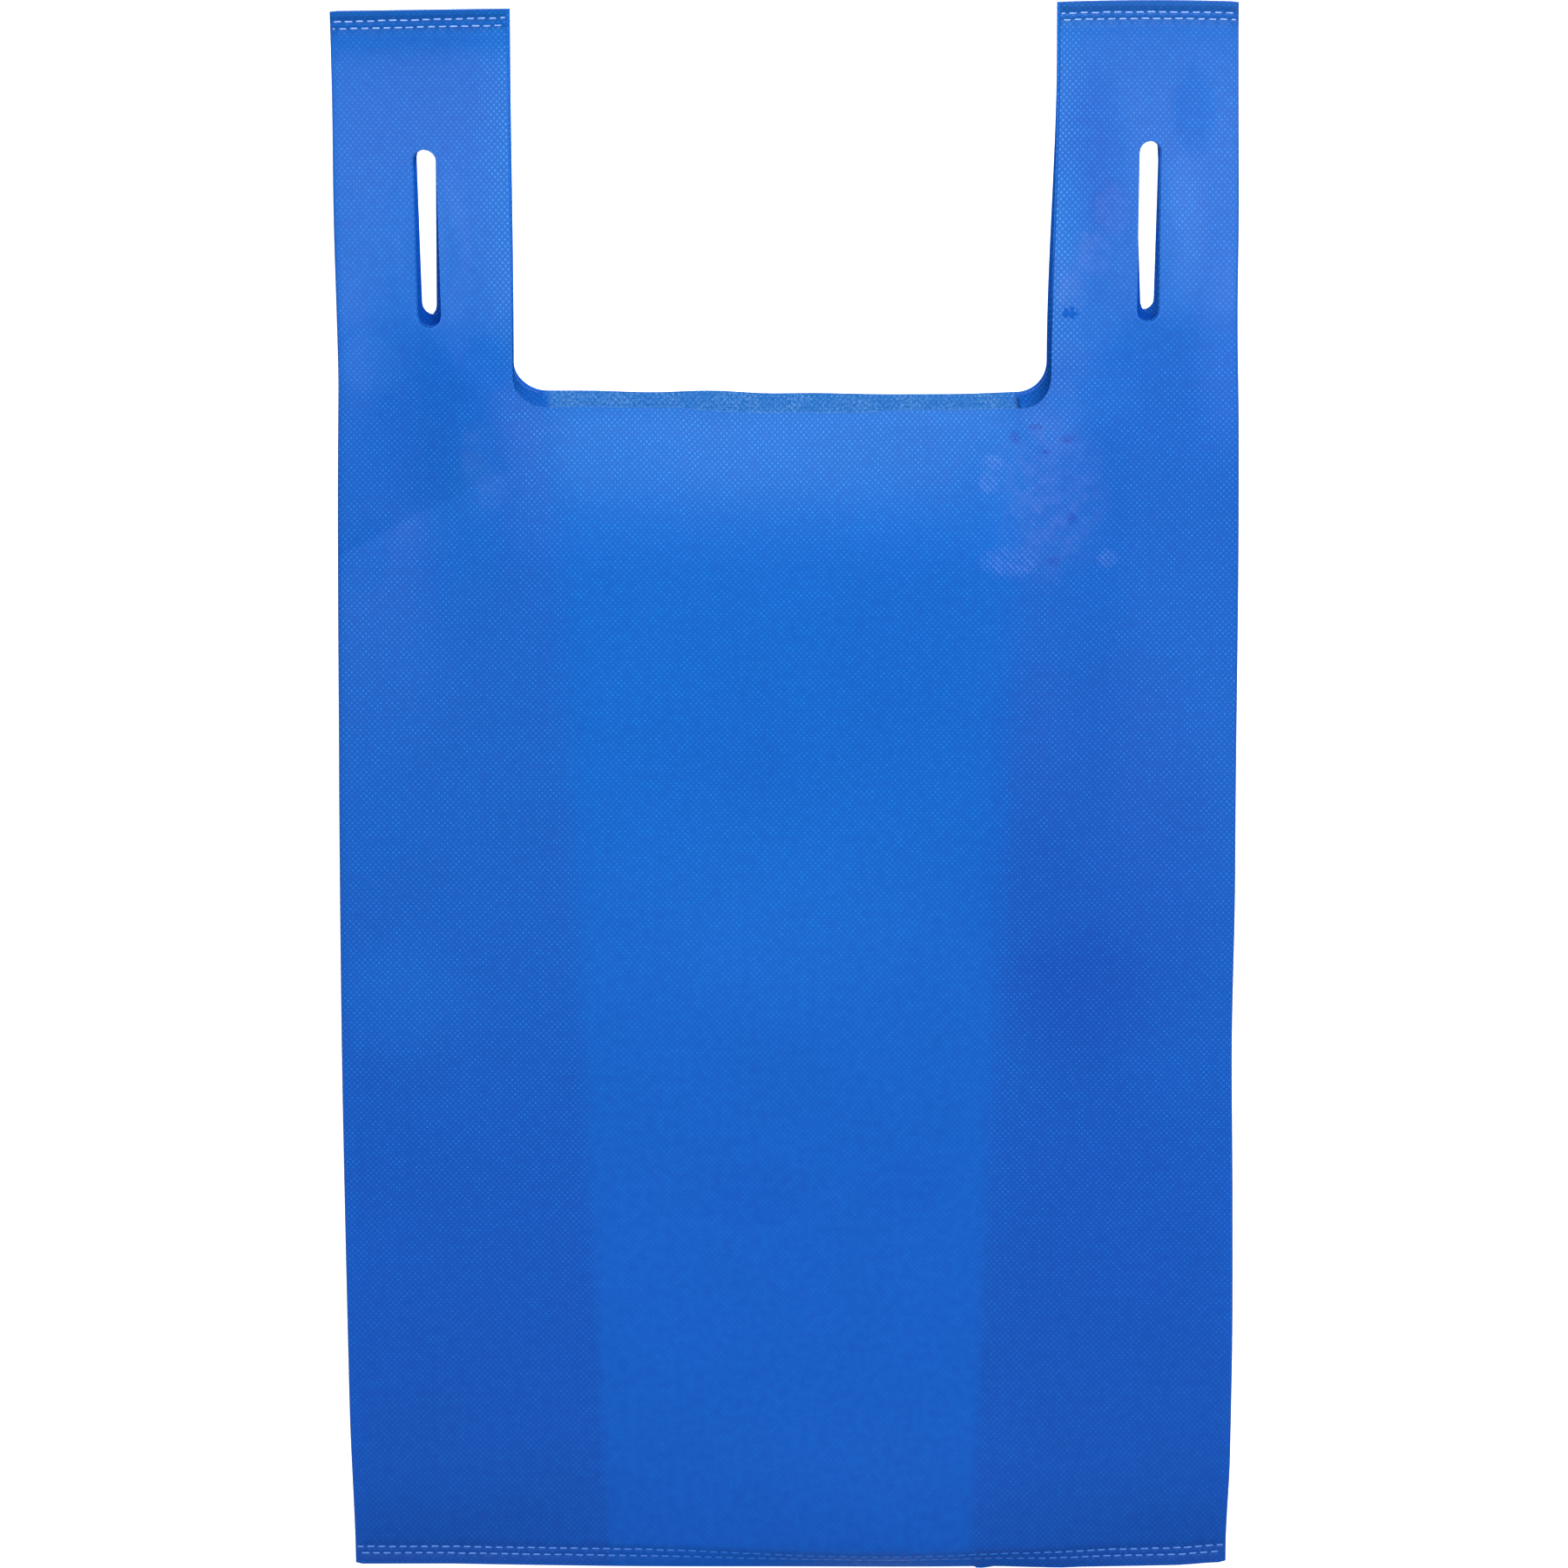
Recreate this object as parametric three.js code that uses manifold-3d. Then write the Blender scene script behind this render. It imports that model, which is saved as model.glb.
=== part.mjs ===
// A vest-style shopping bag of bonded polypropylene fleece. One web is folded into a gusseted tube, cut out
// between the handles, slotted through both handles, and welded across its bottom edge and its handle tops.
// It lies on its back panel with the front panel lofted over it, highest at the mouth.
// Millimetres: X across the bag, Y from the bottom edge towards the handles, Z up.
import * as THREE from 'three';
import { mergeVertices } from 'three/addons/utils/BufferGeometryUtils.js';
import Module from 'manifold-3d';

// The folded web
const bagWidth = 310;
const bagLength = 559;
const gussetDepth = 89;
const gussetDepthAtMouth = 74;
const sheet = 0.45;
const layerGap = 0.1;

// The cut-outs
const handleWidth = 61;
const mouthDepth = 137;
const mouthCornerRadius = 9.5;
const slotLength = 63;
const slotWidth = 8;
const slotFromTop = 47;

// The welded hems, each with two rows of short dashes, staggered by this share of a pitch either way
const hemLength = 8.5;
const bottomRowFromEdge = 4;
const topRowFromEdge = 3.5;
const rowSpacing = 2.4;
const dashPitch = 3.8;
const dashLength = 2.4;
const dashWidth = 0.8;
const dashDepth = 0.35;
const rowStagger = 0.25;

// How the bag lies: heights of the front panel over the back panel, and how it sags between its edges
const mouthLoft = 30;
const centreSag = 2;
const lipSag = 4.5;
const lipSagLength = 60;
const handleCurve = 1.4;
const foldOpening = 1.6;
const gussetPartingLength = 45;

// Steps along the section, along the bag and round the cut corners
const foldSteps = 4;
const gussetSteps = 3;
const frontSteps = 9;
const bottomStations = 11;
const handleStations = 9;
const stationCrowding = 1.5;
const cornerSteps = 8;

const { clamp, lerp, smoothstep } = THREE.MathUtils;
const halfWidth = bagWidth / 2;
const layer = sheet + layerGap;
const backHeight = sheet / 2;
const stackHeight = backHeight + 3 * layer;
const mouthAt = bagLength - mouthDepth;
const handleCentre = halfWidth - handleWidth / 2;
const cutterMargin = 5;
const cutterHeight = mouthLoft + 2 * cutterMargin;

// Share of the full loft at a distance from the bottom edge: none in the hems, all of it at the mouth
function rise(along) {
  if (along <= mouthAt) {
    const share = clamp((along - hemLength) / (mouthAt - hemLength), 0, 1);
    return 1 - (1 - share) ** 2;
  }
  const share = clamp((along - mouthAt) / (bagLength - hemLength - mouthAt), 0, 1);
  return 1 - share ** handleCurve;
}

// Middle of the front panel's thickness along its outer folds
function frontEdgeHeight(along) {
  return lerp(stackHeight, backHeight + mouthLoft, rise(along));
}

// Distance from the outer fold to the inner fold of a gusset
function gussetAt(along) {
  return lerp(gussetDepth, gussetDepthAtMouth, Math.min(along / mouthAt, 1));
}

// One at the middle of the bag, easing to nothing at the given distance from it
function bell(across, reach) {
  return 1 - smoothstep(Math.abs(across), 0, reach);
}

// Middle of the front panel's thickness anywhere on it: it sags between the gussets, and more at its free lip
function frontHeight(across, along) {
  const sag = lerp(2 * layer, centreSag, rise(along)) * bell(across, halfWidth - gussetAt(along));
  const lip = lipSag * smoothstep(along, mouthAt - lipSagLength, mouthAt);
  return frontEdgeHeight(along) - sag - lip * rise(along) * bell(across, halfWidth - handleWidth);
}

// Points on half an ellipse, from straight below its centre round to straight above it
function foldPoints(centreX, centreZ, radiusX, radiusZ) {
  const points = [];
  for (let step = 0; step <= foldSteps; step += 1) {
    const angle = Math.PI * (step / foldSteps - 0.5);
    points.push(new THREE.Vector2(centreX + radiusX * Math.cos(angle), centreZ + radiusZ * Math.sin(angle)));
  }
  return points;
}

// Points strictly between two others
function between(start, end, steps) {
  const points = [];
  for (let step = 1; step < steps; step += 1) {
    points.push(start.clone().lerp(end, step / steps));
  }
  return points;
}

// Where the flat part of a panel ends and the round of its outer fold starts
function foldStart(foldGap) {
  return halfWidth - (foldGap + sheet) / 2;
}

// The front panel's mid-line from its right outer fold to the bag's middle
function frontPoints(along, outermost) {
  const points = [];
  for (let step = 1; step <= frontSteps; step += 1) {
    const across = outermost * (1 - step / frontSteps);
    points.push(new THREE.Vector2(across, frontHeight(across, along)));
  }
  return points;
}

// Mid-line of the tube's section, anticlockwise from the middle of the back panel. On the handles the two
// halves of a gusset part, and each lies along its own panel.
function sectionMidline(along) {
  const foldGap = layer + foldOpening * rise(along);
  const edge = frontEdgeHeight(along);
  const outermost = foldStart(foldGap);
  const parted = smoothstep(along, mouthAt, mouthAt + gussetPartingLength);
  const spread = lerp(foldGap, edge - backHeight - 2 * foldGap, parted);
  const innerX = halfWidth - gussetAt(along) + (foldGap + sheet) / 2;
  const backFold = foldPoints(outermost, backHeight + foldGap / 2, foldGap / 2, foldGap / 2);
  const innerFold = foldPoints(innerX, (backHeight + edge) / 2, -foldGap / 2, spread / 2);
  const frontFold = foldPoints(outermost, edge - foldGap / 2, foldGap / 2, foldGap / 2);
  const right = [
    new THREE.Vector2(0, backHeight),
    ...backFold,
    ...between(backFold.at(-1), innerFold[0], gussetSteps),
    ...innerFold,
    ...between(innerFold.at(-1), frontFold[0], gussetSteps),
    ...frontFold,
    ...frontPoints(along, outermost),
  ];
  const left = right.slice(1, -1).reverse().map((point) => new THREE.Vector2(-point.x, point.y));
  return [...right, ...left];
}

// A closed line moved sideways by a distance, to its left where the distance is positive
function offsetLine(points, distance) {
  return points.map((point, i) => {
    const before = points.at(i - 1);
    const after = points[(i + 1) % points.length];
    const arriving = point.clone().sub(before).normalize();
    const leaving = after.clone().sub(point).normalize();
    const along = arriving.clone().add(leaving).normalize();
    const reach = distance / along.dot(leaving);
    return new THREE.Vector2(point.x - along.y * reach, point.y + along.x * reach);
  });
}

// A point of the bag from its place across the bag, its distance from the bottom edge and its height
function place(across, along, height) {
  return [across, along - bagLength / 2, height];
}

// Distances from the bottom edge at which the tube's section is drawn
function stations() {
  const list = [0];
  for (let step = 0; step < bottomStations; step += 1) {
    list.push(lerp(hemLength, mouthAt, (step / bottomStations) ** stationCrowding));
  }
  for (let step = 0; step <= handleStations; step += 1) {
    list.push(lerp(mouthAt, bagLength - hemLength, step / handleStations));
  }
  return [...list, bagLength];
}

// Triangles over a list of closed rings, each joined to the next and the last to the first
function skin(rings) {
  const count = rings[0].length;
  const corner = (ring, point) => (ring % rings.length) * count + (point % count);
  const index = [];
  for (let ring = 0; ring < rings.length; ring += 1) {
    for (let point = 0; point < count; point += 1) {
      const a = corner(ring, point);
      const b = corner(ring, point + 1);
      const c = corner(ring + 1, point + 1);
      const d = corner(ring + 1, point);
      index.push(a, c, b, a, d, c);
    }
  }
  const geometry = new THREE.BufferGeometry();
  geometry.setAttribute('position', new THREE.Float32BufferAttribute(rings.flat(2), 3));
  geometry.setIndex(index);
  return geometry;
}

// The folded tube as a thin wall, open at both ends: up its outside and back down its inside
function tubeGeometry() {
  const ring = (along, distance) => {
    const line = offsetLine(sectionMidline(along), distance);
    return line.map((point) => place(point.x, along, point.y));
  };
  const outside = stations().map((along) => ring(along, -sheet / 2));
  const inside = stations().reverse().map((along) => ring(along, sheet / 2));
  return skin([...outside, ...inside]);
}

// An outline drawn across the bag and upwards, extruded along the bag
function extrudeAlong(points, start, end) {
  const options = { depth: end - start, bevelEnabled: false };
  const geometry = new THREE.ExtrudeGeometry(new THREE.Shape(points), options);
  const across = new THREE.Vector3(1, 0, 0);
  const up = new THREE.Vector3(0, 0, 1);
  const towardsBottom = new THREE.Vector3(0, -1, 0);
  geometry.applyMatrix4(new THREE.Matrix4().makeBasis(across, up, towardsBottom));
  geometry.translate(0, end - bagLength / 2, 0);
  return geometry;
}

// What fuses all the layers in a hem, between the middles of the back and the front layer
function hemCoreGeometry(start, end) {
  const outermost = foldStart(layer);
  const rightTop = [new THREE.Vector2(outermost, stackHeight), ...frontPoints(start, outermost)];
  const leftTop = rightTop.slice(0, -1).reverse().map((point) => new THREE.Vector2(-point.x, point.y));
  const bottom = [new THREE.Vector2(-outermost, backHeight), new THREE.Vector2(outermost, backHeight)];
  return extrudeAlong([...bottom, ...rightTop, ...leftTop], start, end);
}

// An outline drawn in plan, extruded through every layer
function cutterGeometry(shape) {
  const options = { depth: cutterHeight, bevelEnabled: false, curveSegments: cornerSteps };
  const geometry = new THREE.ExtrudeGeometry(shape, options);
  geometry.translate(0, -bagLength / 2, -cutterMargin);
  return geometry;
}

// The gap between the handles, round in its two lower corners
function mouthShape() {
  const side = halfWidth - handleWidth;
  const radius = mouthCornerRadius;
  const shape = new THREE.Shape();
  shape.moveTo(-side, bagLength + cutterMargin);
  shape.lineTo(-side, mouthAt + radius);
  shape.absarc(-side + radius, mouthAt + radius, radius, Math.PI, 1.5 * Math.PI);
  shape.lineTo(side - radius, mouthAt);
  shape.absarc(side - radius, mouthAt + radius, radius, 1.5 * Math.PI, 2 * Math.PI);
  shape.lineTo(side, bagLength + cutterMargin);
  return shape;
}

// A hanging slot with round ends in the middle of a handle
function slotShape(centre) {
  const radius = slotWidth / 2;
  const upper = bagLength - slotFromTop - radius;
  const lower = bagLength - slotFromTop - slotLength + radius;
  const shape = new THREE.Shape();
  shape.absarc(centre, upper, radius, 0, Math.PI);
  shape.absarc(centre, lower, radius, Math.PI, 2 * Math.PI);
  return shape;
}

// One dash pressed into the front face
function dashGeometry(across, along) {
  const surface = frontHeight(across, along) + sheet / 2;
  const geometry = new THREE.BoxGeometry(dashLength, dashWidth, 2 * dashDepth);
  geometry.translate(...place(across, along, surface));
  return geometry;
}

// A row of dashes, as many as fit side by side in the span
function dashRow(centre, span, along, stagger) {
  const count = Math.floor((span - dashLength) / dashPitch - Math.abs(stagger));
  const row = [];
  for (let dash = 0; dash < count; dash += 1) {
    row.push(dashGeometry(centre + (dash - (count - 1) / 2 + stagger) * dashPitch, along));
  }
  return row;
}

// Both rows of a weld, staggered against each other
function weldRows(centre, span, outerRow, innerRow) {
  return [...dashRow(centre, span, outerRow, -rowStagger), ...dashRow(centre, span, innerRow, rowStagger)];
}

const wasm = await Module();
wasm.setup();

// A closed geometry as a solid that can be joined and cut
function solid(geometry) {
  geometry.deleteAttribute('normal');
  geometry.deleteAttribute('uv');
  const merged = mergeVertices(geometry);
  const vertProperties = Float32Array.from(merged.attributes.position.array);
  const triVerts = Uint32Array.from(merged.index.array);
  return new wasm.Manifold(new wasm.Mesh({ numProp: 3, vertProperties, triVerts }));
}

// The finished solid as a geometry
function geometryOf(manifold) {
  const { vertProperties, triVerts } = manifold.getMesh();
  const geometry = new THREE.BufferGeometry();
  geometry.setAttribute('position', new THREE.BufferAttribute(vertProperties, 3));
  geometry.setIndex(new THREE.BufferAttribute(triVerts, 1));
  geometry.computeVertexNormals();
  return geometry;
}

// The whole bag: the tube fused in its hems, then cut out and pressed
function bagGeometry() {
  const topHem = bagLength - hemLength;
  const cores = [hemCoreGeometry(0, hemLength), hemCoreGeometry(topHem, bagLength)];
  const cutters = [mouthShape(), slotShape(-handleCentre), slotShape(handleCentre)].map(cutterGeometry);
  const bottomRow = bottomRowFromEdge;
  const topRow = bagLength - topRowFromEdge;
  const dashes = [
    ...weldRows(0, bagWidth, bottomRow, bottomRow + rowSpacing),
    ...weldRows(-handleCentre, handleWidth, topRow, topRow - rowSpacing),
    ...weldRows(handleCentre, handleWidth, topRow, topRow - rowSpacing),
  ];
  const fused = cores.reduce((body, core) => body.add(solid(core)), solid(tubeGeometry()));
  return geometryOf([...cutters, ...dashes].reduce((body, cutter) => body.subtract(solid(cutter)), fused));
}

const fleece = new THREE.MeshStandardMaterial({ color: 0x1f66cc, roughness: 0.8, metalness: 0 });
const bag = new THREE.Mesh(bagGeometry(), fleece);
bag.name = 'bag';

const group = new THREE.Group();
group.add(bag);

export default group;
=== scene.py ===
import math
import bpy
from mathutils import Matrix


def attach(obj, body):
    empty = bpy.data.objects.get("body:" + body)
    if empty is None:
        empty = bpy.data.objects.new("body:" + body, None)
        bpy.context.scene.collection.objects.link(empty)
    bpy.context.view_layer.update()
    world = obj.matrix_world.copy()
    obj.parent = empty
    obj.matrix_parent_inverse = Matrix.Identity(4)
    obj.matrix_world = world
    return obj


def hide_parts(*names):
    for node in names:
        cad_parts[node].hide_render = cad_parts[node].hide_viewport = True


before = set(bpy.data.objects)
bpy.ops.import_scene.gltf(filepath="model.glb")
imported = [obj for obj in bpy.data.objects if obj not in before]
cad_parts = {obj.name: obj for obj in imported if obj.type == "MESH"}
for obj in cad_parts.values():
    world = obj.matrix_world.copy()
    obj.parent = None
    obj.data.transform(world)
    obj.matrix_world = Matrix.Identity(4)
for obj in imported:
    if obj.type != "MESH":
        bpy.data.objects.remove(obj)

from types import SimpleNamespace

import bpy
import numpy as np
from mathutils import Matrix, Vector
from mathutils.geometry import delaunay_2d_cdt

# A vest-style shopping bag of bonded fleece, lying on its back with the mouth a little open.
# The cloth is one web. A point of it is named by s, the distance round the tube from the middle of the front,
# and by v, the distance from the bottom edge. Without its sign, s is called u. Lengths are in millimetres until
# a mesh is made.
# In the values below, a pair of numbers is mostly where a change starts and ends, or what the left and right
# sides have. A plateau has four: where it starts to rise, is full, starts to fall and ends. A bell has its
# middle, its reach and its height.

MM = 0.001

# Sizes of the bag
BAG_WIDTH = 310.0
BAG_LENGTH = 559.0
GUSSET_DEPTH = 89.0
GUSSET_AT_MOUTH = 72.0
SHEET = 0.45
LAYER = 0.55
HANDLE_WIDTH = 61.0
MOUTH_DEPTH = 137.0
MOUTH_CORNER = 11.5
SLOT_LENGTH = (59.0, 59.5)
SLOT_WIDTH = (8.4, 7.3)
SLOT_FROM_TOP = 47.0
SLOT_SHIFT = (1.7, 0.0)
HEM = 8.5

HALF_WIDTH = BAG_WIDTH / 2
HALF_WEB = BAG_WIDTH + 2 * GUSSET_DEPTH
FRONT_FOLD = HALF_WIDTH
INNER_FOLD = HALF_WIDTH + GUSSET_DEPTH
BACK_FOLD = HALF_WIDTH + 2 * GUSSET_DEPTH
MOUTH_AT = BAG_LENGTH - MOUTH_DEPTH
HANDLE_EDGE = HALF_WIDTH - HANDLE_WIDTH
HANDLE_MIDDLE = HALF_WIDTH - HANDLE_WIDTH / 2
BACK_HEIGHT = SHEET / 2
STACK_HEIGHT = BACK_HEIGHT + 3 * LAYER
GUSSET_STRETCH = GUSSET_DEPTH / GUSSET_AT_MOUTH

# Weld dashes
# Each row: how far from the edge its left and right ends lie, and where its first dash is
BOTTOM_PITCH = 3.8
TOP_PITCH = 3.76
DASH_LENGTH = 2.45
DASH_WIDTH = 0.46
DASH_DEPTH = 0.12
DASH_SHOULDER = 0.25
DASH_JITTER = 0.08
DASH_STRETCH = 0.08
DASH_TURN = 0.03
DASH_MARGINS = (0.3, 0.45)
SHORTEST_DASH = 1.5 * DASH_WIDTH
BOTTOM_ROWS = ((4.0, 4.0, 3.1), (6.4, 6.4, 1.25))
LEFT_TOP_ROWS = ((3.55, 2.95, 2.1), (6.0, 5.6, 0.1))
RIGHT_TOP_ROWS = ((3.85, 3.85, 0.4), (6.15, 6.15, 2.16))

# How the bag lies
MOUTH_LOFT = 28.0
HANDLE_CURVE = 1.05
BODY_CURVE = 1.8
CENTRE_SAG = 2.0
FOLD_OPENING = 1.6
PARTING_START = 5.0
PARTING_LENGTH = 45.0

# The front's lip sags, and draws back from the back's
LIP_SAG = 5.0
LIP_SAG_LENGTH = 52.0
LIP_CURVE = 1.4
LIP_ENDS = (72.0, 122.0)
LIP_RETREAT = 1.2
LIP_RETREAT_REACH = 130.0
LIP_DIP = 1.35
LIP_DIP_ACROSS = (-40.0, -28.0, 20.0, 42.0)
LIP_DIP_BELLS = ((-22.0, 14.0, 0.35),)
LIP_CORNERS = (74.0, 92.0)
LIP_CORNER_RETREAT = 0.55

# The shoulders sink to a level below the loft and climb again to the handles' roots.
# The left one sinks as far as a slanting crease, the right one softly.
SHOULDER_LEVEL = (19.0, 20.5)
SHOULDER_CLIMB_FROM = (385.0, 345.0)
ROOT_HEIGHT = ((21.5, 24.5), (22.0, 22.0))
ROOT_AT = 453.0
ROOT_SOFTNESS = 0.6
ROOT_ALONG = (416.0, 460.0)
LEFT_SHOULDER = (92.0, 130.0)
RIGHT_SHOULDER = (86.0, 124.0)
RIGHT_SHOULDER_ALONG = (150.0, 350.0)
CREASE_FROM = (-155.0, 369.2)
CREASE_TO = (-94.0, 404.1)
CREASE_REACH = 75.0
CREASE_CURVE = 1.25

# Soft swells of the front: their middles across and along, their reaches across and along, and their heights
SWELLS = (
    (-5.0, 374.0, 80.0, 58.0, 4.0),
    (0.0, 205.0, 90.0, 45.0, 2.4),
    (98.0, 276.0, 36.0, 46.0, 3.0),
    (-138.0, 186.0, 28.0, 36.0, 2.0),
)
SWELLS_ALONG = (HEM, 60.0, 470.0, BAG_LENGTH - HEM)

# The bottom hem leans down to the floor from a low ridge. Its lower layers show past the front in places, and
# lose a share of the ridge, PEEK_DROP, for each millimetre that shows.
RIDGE_MIDDLE = 32.0
RIDGE_REACH = 95.0
RIDGE_HEIGHT = 4.4
RIDGE_AT = 9.0
RIDGE_CURVE = 0.9
RIDGE_END = 70.0
RIDGE_PULL = 2.4
RIDGE_PULL_ALONG = (0.0, 8.0, 10.0, 110.0)
PEEK_BELLS = ((68.0, 7.0, 0.9), (97.0, 14.0, 0.5), (-60.0, 6.0, 0.5))
PEEK_END = 30.0
PEEK_DROP = 0.08

# How far the outer edges, the handles' inner edges and their lower layers lie off their plain places
LEFT_BOW = 1.6
LEFT_BOW_LENGTH = 430.0
LEFT_FOOT = 0.8
LEFT_FOOT_ALONG = (4.0, 60.0)
LEFT_LEAN = 2.5
LEFT_LEAN_FROM = 436.0
LEFT_LEAN_LENGTH = 119.0
LEFT_LEAN_MOST = 1.1
LEFT_EDGE_BELLS = ((388.0, 90.0, -0.5), (490.0, 45.0, -0.35))
RIGHT_OUT = 1.1
RIGHT_FOOT_ALONG = (4.0, 40.0)
RIGHT_EDGE_BELLS = ((85.0, 70.0, 0.5), (195.0, 60.0, -0.7), (368.0, 95.0, 0.45), (455.0, 40.0, -0.45))
LEFT_INNER = (-0.6, -1.9)
LEFT_INNER_ALONG = (440.0, BAG_LENGTH)
RIGHT_INNER = (-3.0, -0.1)
RIGHT_INNER_ALONG = (430.0, 540.0)
HANDLES_ACROSS = (40.0, 94.0)
HANDLES_ALONG = (395.0, 432.0)
BACK_INWARD = (-0.3, 0.9)
BACK_ACROSS = (40.0, 90.0)
BACK_ALONG = (395.0, 430.0, 440.0, BAG_LENGTH)

# How far the bottom edge and the handle tops lie off their plain places. A bow has its middle, half its width
# and its height.
BOTTOM_BOW = (20.0, 140.0, 1.3)
BOTTOM_BELLS = ((0.0, 150.0, 0.35),)
BOTTOM_STEP = 0.8
BOTTOM_STEP_ACROSS = (68.0, 95.0, 136.0, 153.0)
BOTTOM_END = 90.0
HANDLE_SIDES = (60.0, 96.0)
LEFT_DROP = 1.7
LEFT_DROP_ALONG = (405.0, 455.0)
LEFT_TURN = 0.012
LEFT_TURN_ALONG = (440.0, BAG_LENGTH)
RIGHT_LIFT = 1.0
RIGHT_LIFT_ALONG = (430.0, BAG_LENGTH)
RIGHT_TOP_BOW = (124.0, 31.0, 0.55)
RIGHT_TOP_DROP = 0.42
RIGHT_TOP_ALONG = (500.0, BAG_LENGTH)
TRIM_WIDTH = 2.0
TRIM_LENGTH = 3.5
BOTTOM_TRIM = 0.55
TOP_TRIM = 0.2

# The knife's line along the mouth
CUT_OFFSET = 0.3
CUT_BOW = 1.35e-4
CUT_BOW_AT = 35.0
CUT_RIPPLE = 0.15
CUT_RIPPLE_LENGTH = 6.0
CUT_BELLS = ((-24.0, 22.0, 0.5), (-62.0, 28.0, -0.3), (48.0, 25.0, -0.45))
CUT_START = 1.0
CUT_END = 30.0

# How far the slots of the layers have slipped at their upper and lower ends, on the left and right handles
FRONT_SLOT_SLIP = ((-0.25, 0.3), (0.25, 0.7))
GUSSET_SLOT_SLIP = ((0.8, 1.5), (0.0, 4.1))
BACK_SLOT_SLIP = ((-0.5, -1.8), (-0.2, 0.3))
SLIP_CURVE = (1.2, 2.2)

# How far the lower layers' slots lie nearer to the bottom than the front's, on the left and right handles
GUSSET_SLOT_DROP = (0.5, 2.2)
BACK_SLOT_DROP = (1.9, 0.8)

# Fineness of the mesh. The hems' rows are measured from the edges.
CELL = 4.8
LOW_ROWS = (0.0, 1.4, 2.8, 5.2, 8.0, 10.5, 13.5)
HIGH_ROWS = (13.5, 10.0, 7.3, 4.7, 2.3, 1.2, 0.0)
FOLD_REACH = 1.6
FOLD_MARGIN = 2.2 * FOLD_REACH
FOLD_STEPS = 8
CORNER_STEPS = 10
SLOT_STEPS = 9
DASH_STEPS = 5
ROW_CLEARANCE = 0.8
COLUMN_CLEARANCE = 0.3
OUTLINE_CLEARANCE = 1.04
SLOT_CLEARANCE = 1.3
DASH_CLEARANCE = 0.35
CREASE_STEP = 2.4
CREASE_ROWS = (-1.0, 0.0, 1.0)
CREASE_CLEARANCE = 2.2
CREASE_FROM_FOLD = 4.0
DASH_NEAR = 5.0
EDGE_NEAR = 3.0
FAR = 1e9
NORMAL_STEP = 0.02
CUT_PRECISION = 1e-5
SEAM_PRECISION = 1e-4
SEAM_DIGITS = 3
SMALLEST_FACE = 1e-7
SEED = 7

# The bake's texture: the spans of its height that the two faces of the web take, and a margin
OUTSIDE_CHART = (0.005, 0.715)
INSIDE_CHART = (0.735, 0.995)
CHART_MARGIN = 0.005
RIM_IN_CHART = 0.0015


# Small functions of one number

def lerp(a, b, t):
    """From a where t is 0 to b where it is 1."""
    return a + (b - a) * t


def smoothstep(x, low, high):
    """A smooth rise from 0 at low to 1 at high."""
    t = np.clip((x - low) / (high - low), 0, 1)
    return t * t * (3 - 2 * t)


def bell(x, centre, reach):
    """1 at the centre, falling smoothly to 0 at the reach on either side."""
    return 1 - smoothstep(np.abs(x - centre), 0, reach)


def bells(x, table):
    """Several bells added up."""
    return sum(height * bell(x, centre, reach) for centre, reach, height in table)


def bow(x, centre, half, height):
    """A parabola over a width of twice half."""
    return height * np.clip(1 - ((x - centre) / half) ** 2, 0, 1)


def plateau(x, low, full_from, full_to, high):
    """0 up to low, 1 from full_from to full_to, and 0 again from high."""
    return smoothstep(x, low, full_from) * (1 - smoothstep(x, full_to, high))


# Where the cloth lies

def rise(v):
    """Share of the full loft: 0 at the bottom hem, 1 at the mouth and 0 at the handle tops."""
    up = np.clip((v - HEM) / (MOUTH_AT - HEM), 0, 1)
    down = np.clip((v - MOUTH_AT) / (MOUTH_DEPTH - HEM), 0, 1)
    return np.where(v <= MOUTH_AT, 1 - (1 - up) ** BODY_CURVE, 1 - down ** HANDLE_CURVE)


def gusset_depth(v):
    """How far the gussets reach in."""
    return lerp(GUSSET_DEPTH, GUSSET_AT_MOUTH, np.clip(v / MOUTH_AT, 0, 1))


def crease_distance(across, v):
    """How far a point lies above the left shoulder's crease."""
    (x0, v0), (x1, v1) = CREASE_FROM, CREASE_TO
    return ((v - v0) * (x1 - x0) - (across - x0) * (v1 - v0)) / math.hypot(x1 - x0, v1 - v0)


def shoulder_share(across, v):
    """0 on the body, 1 on the shoulders and handles."""
    above = np.clip(1 + crease_distance(across, v) / CREASE_REACH, 0, 1) ** CREASE_CURVE
    left = smoothstep(-across, *LEFT_SHOULDER) * above
    right = smoothstep(across, *RIGHT_SHOULDER) * smoothstep(v, *RIGHT_SHOULDER_ALONG)
    return np.maximum(left + right, smoothstep(v, *ROOT_ALONG))


def shoulder_height(across, v):
    """Height of the shoulders and handles over the floor."""
    left = across < 0
    inward = np.clip((HALF_WIDTH - np.abs(across)) / HANDLE_WIDTH, 0, 1)
    root = np.where(left, lerp(*ROOT_HEIGHT[0], inward), lerp(*ROOT_HEIGHT[1], inward))
    climb = smoothstep(v, np.where(left, *SHOULDER_CLIMB_FROM), ROOT_AT)
    height = lerp(np.where(left, *SHOULDER_LEVEL), root, climb)
    fall = np.clip((v - ROOT_AT) / (BAG_LENGTH - HEM - ROOT_AT), 0, 1)
    return lerp(height, STACK_HEIGHT, lerp(fall, smoothstep(fall, 0, 1), ROOT_SOFTNESS))


def swells(across, v):
    """Height of the front's soft swells."""
    total = 0
    for x0, v0, reach_x, reach_v, height in SWELLS:
        total = total + height * np.exp(-((across - x0) / reach_x) ** 2 - ((v - v0) / reach_v) ** 2)
    return total * plateau(v, *SWELLS_ALONG)


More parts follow.
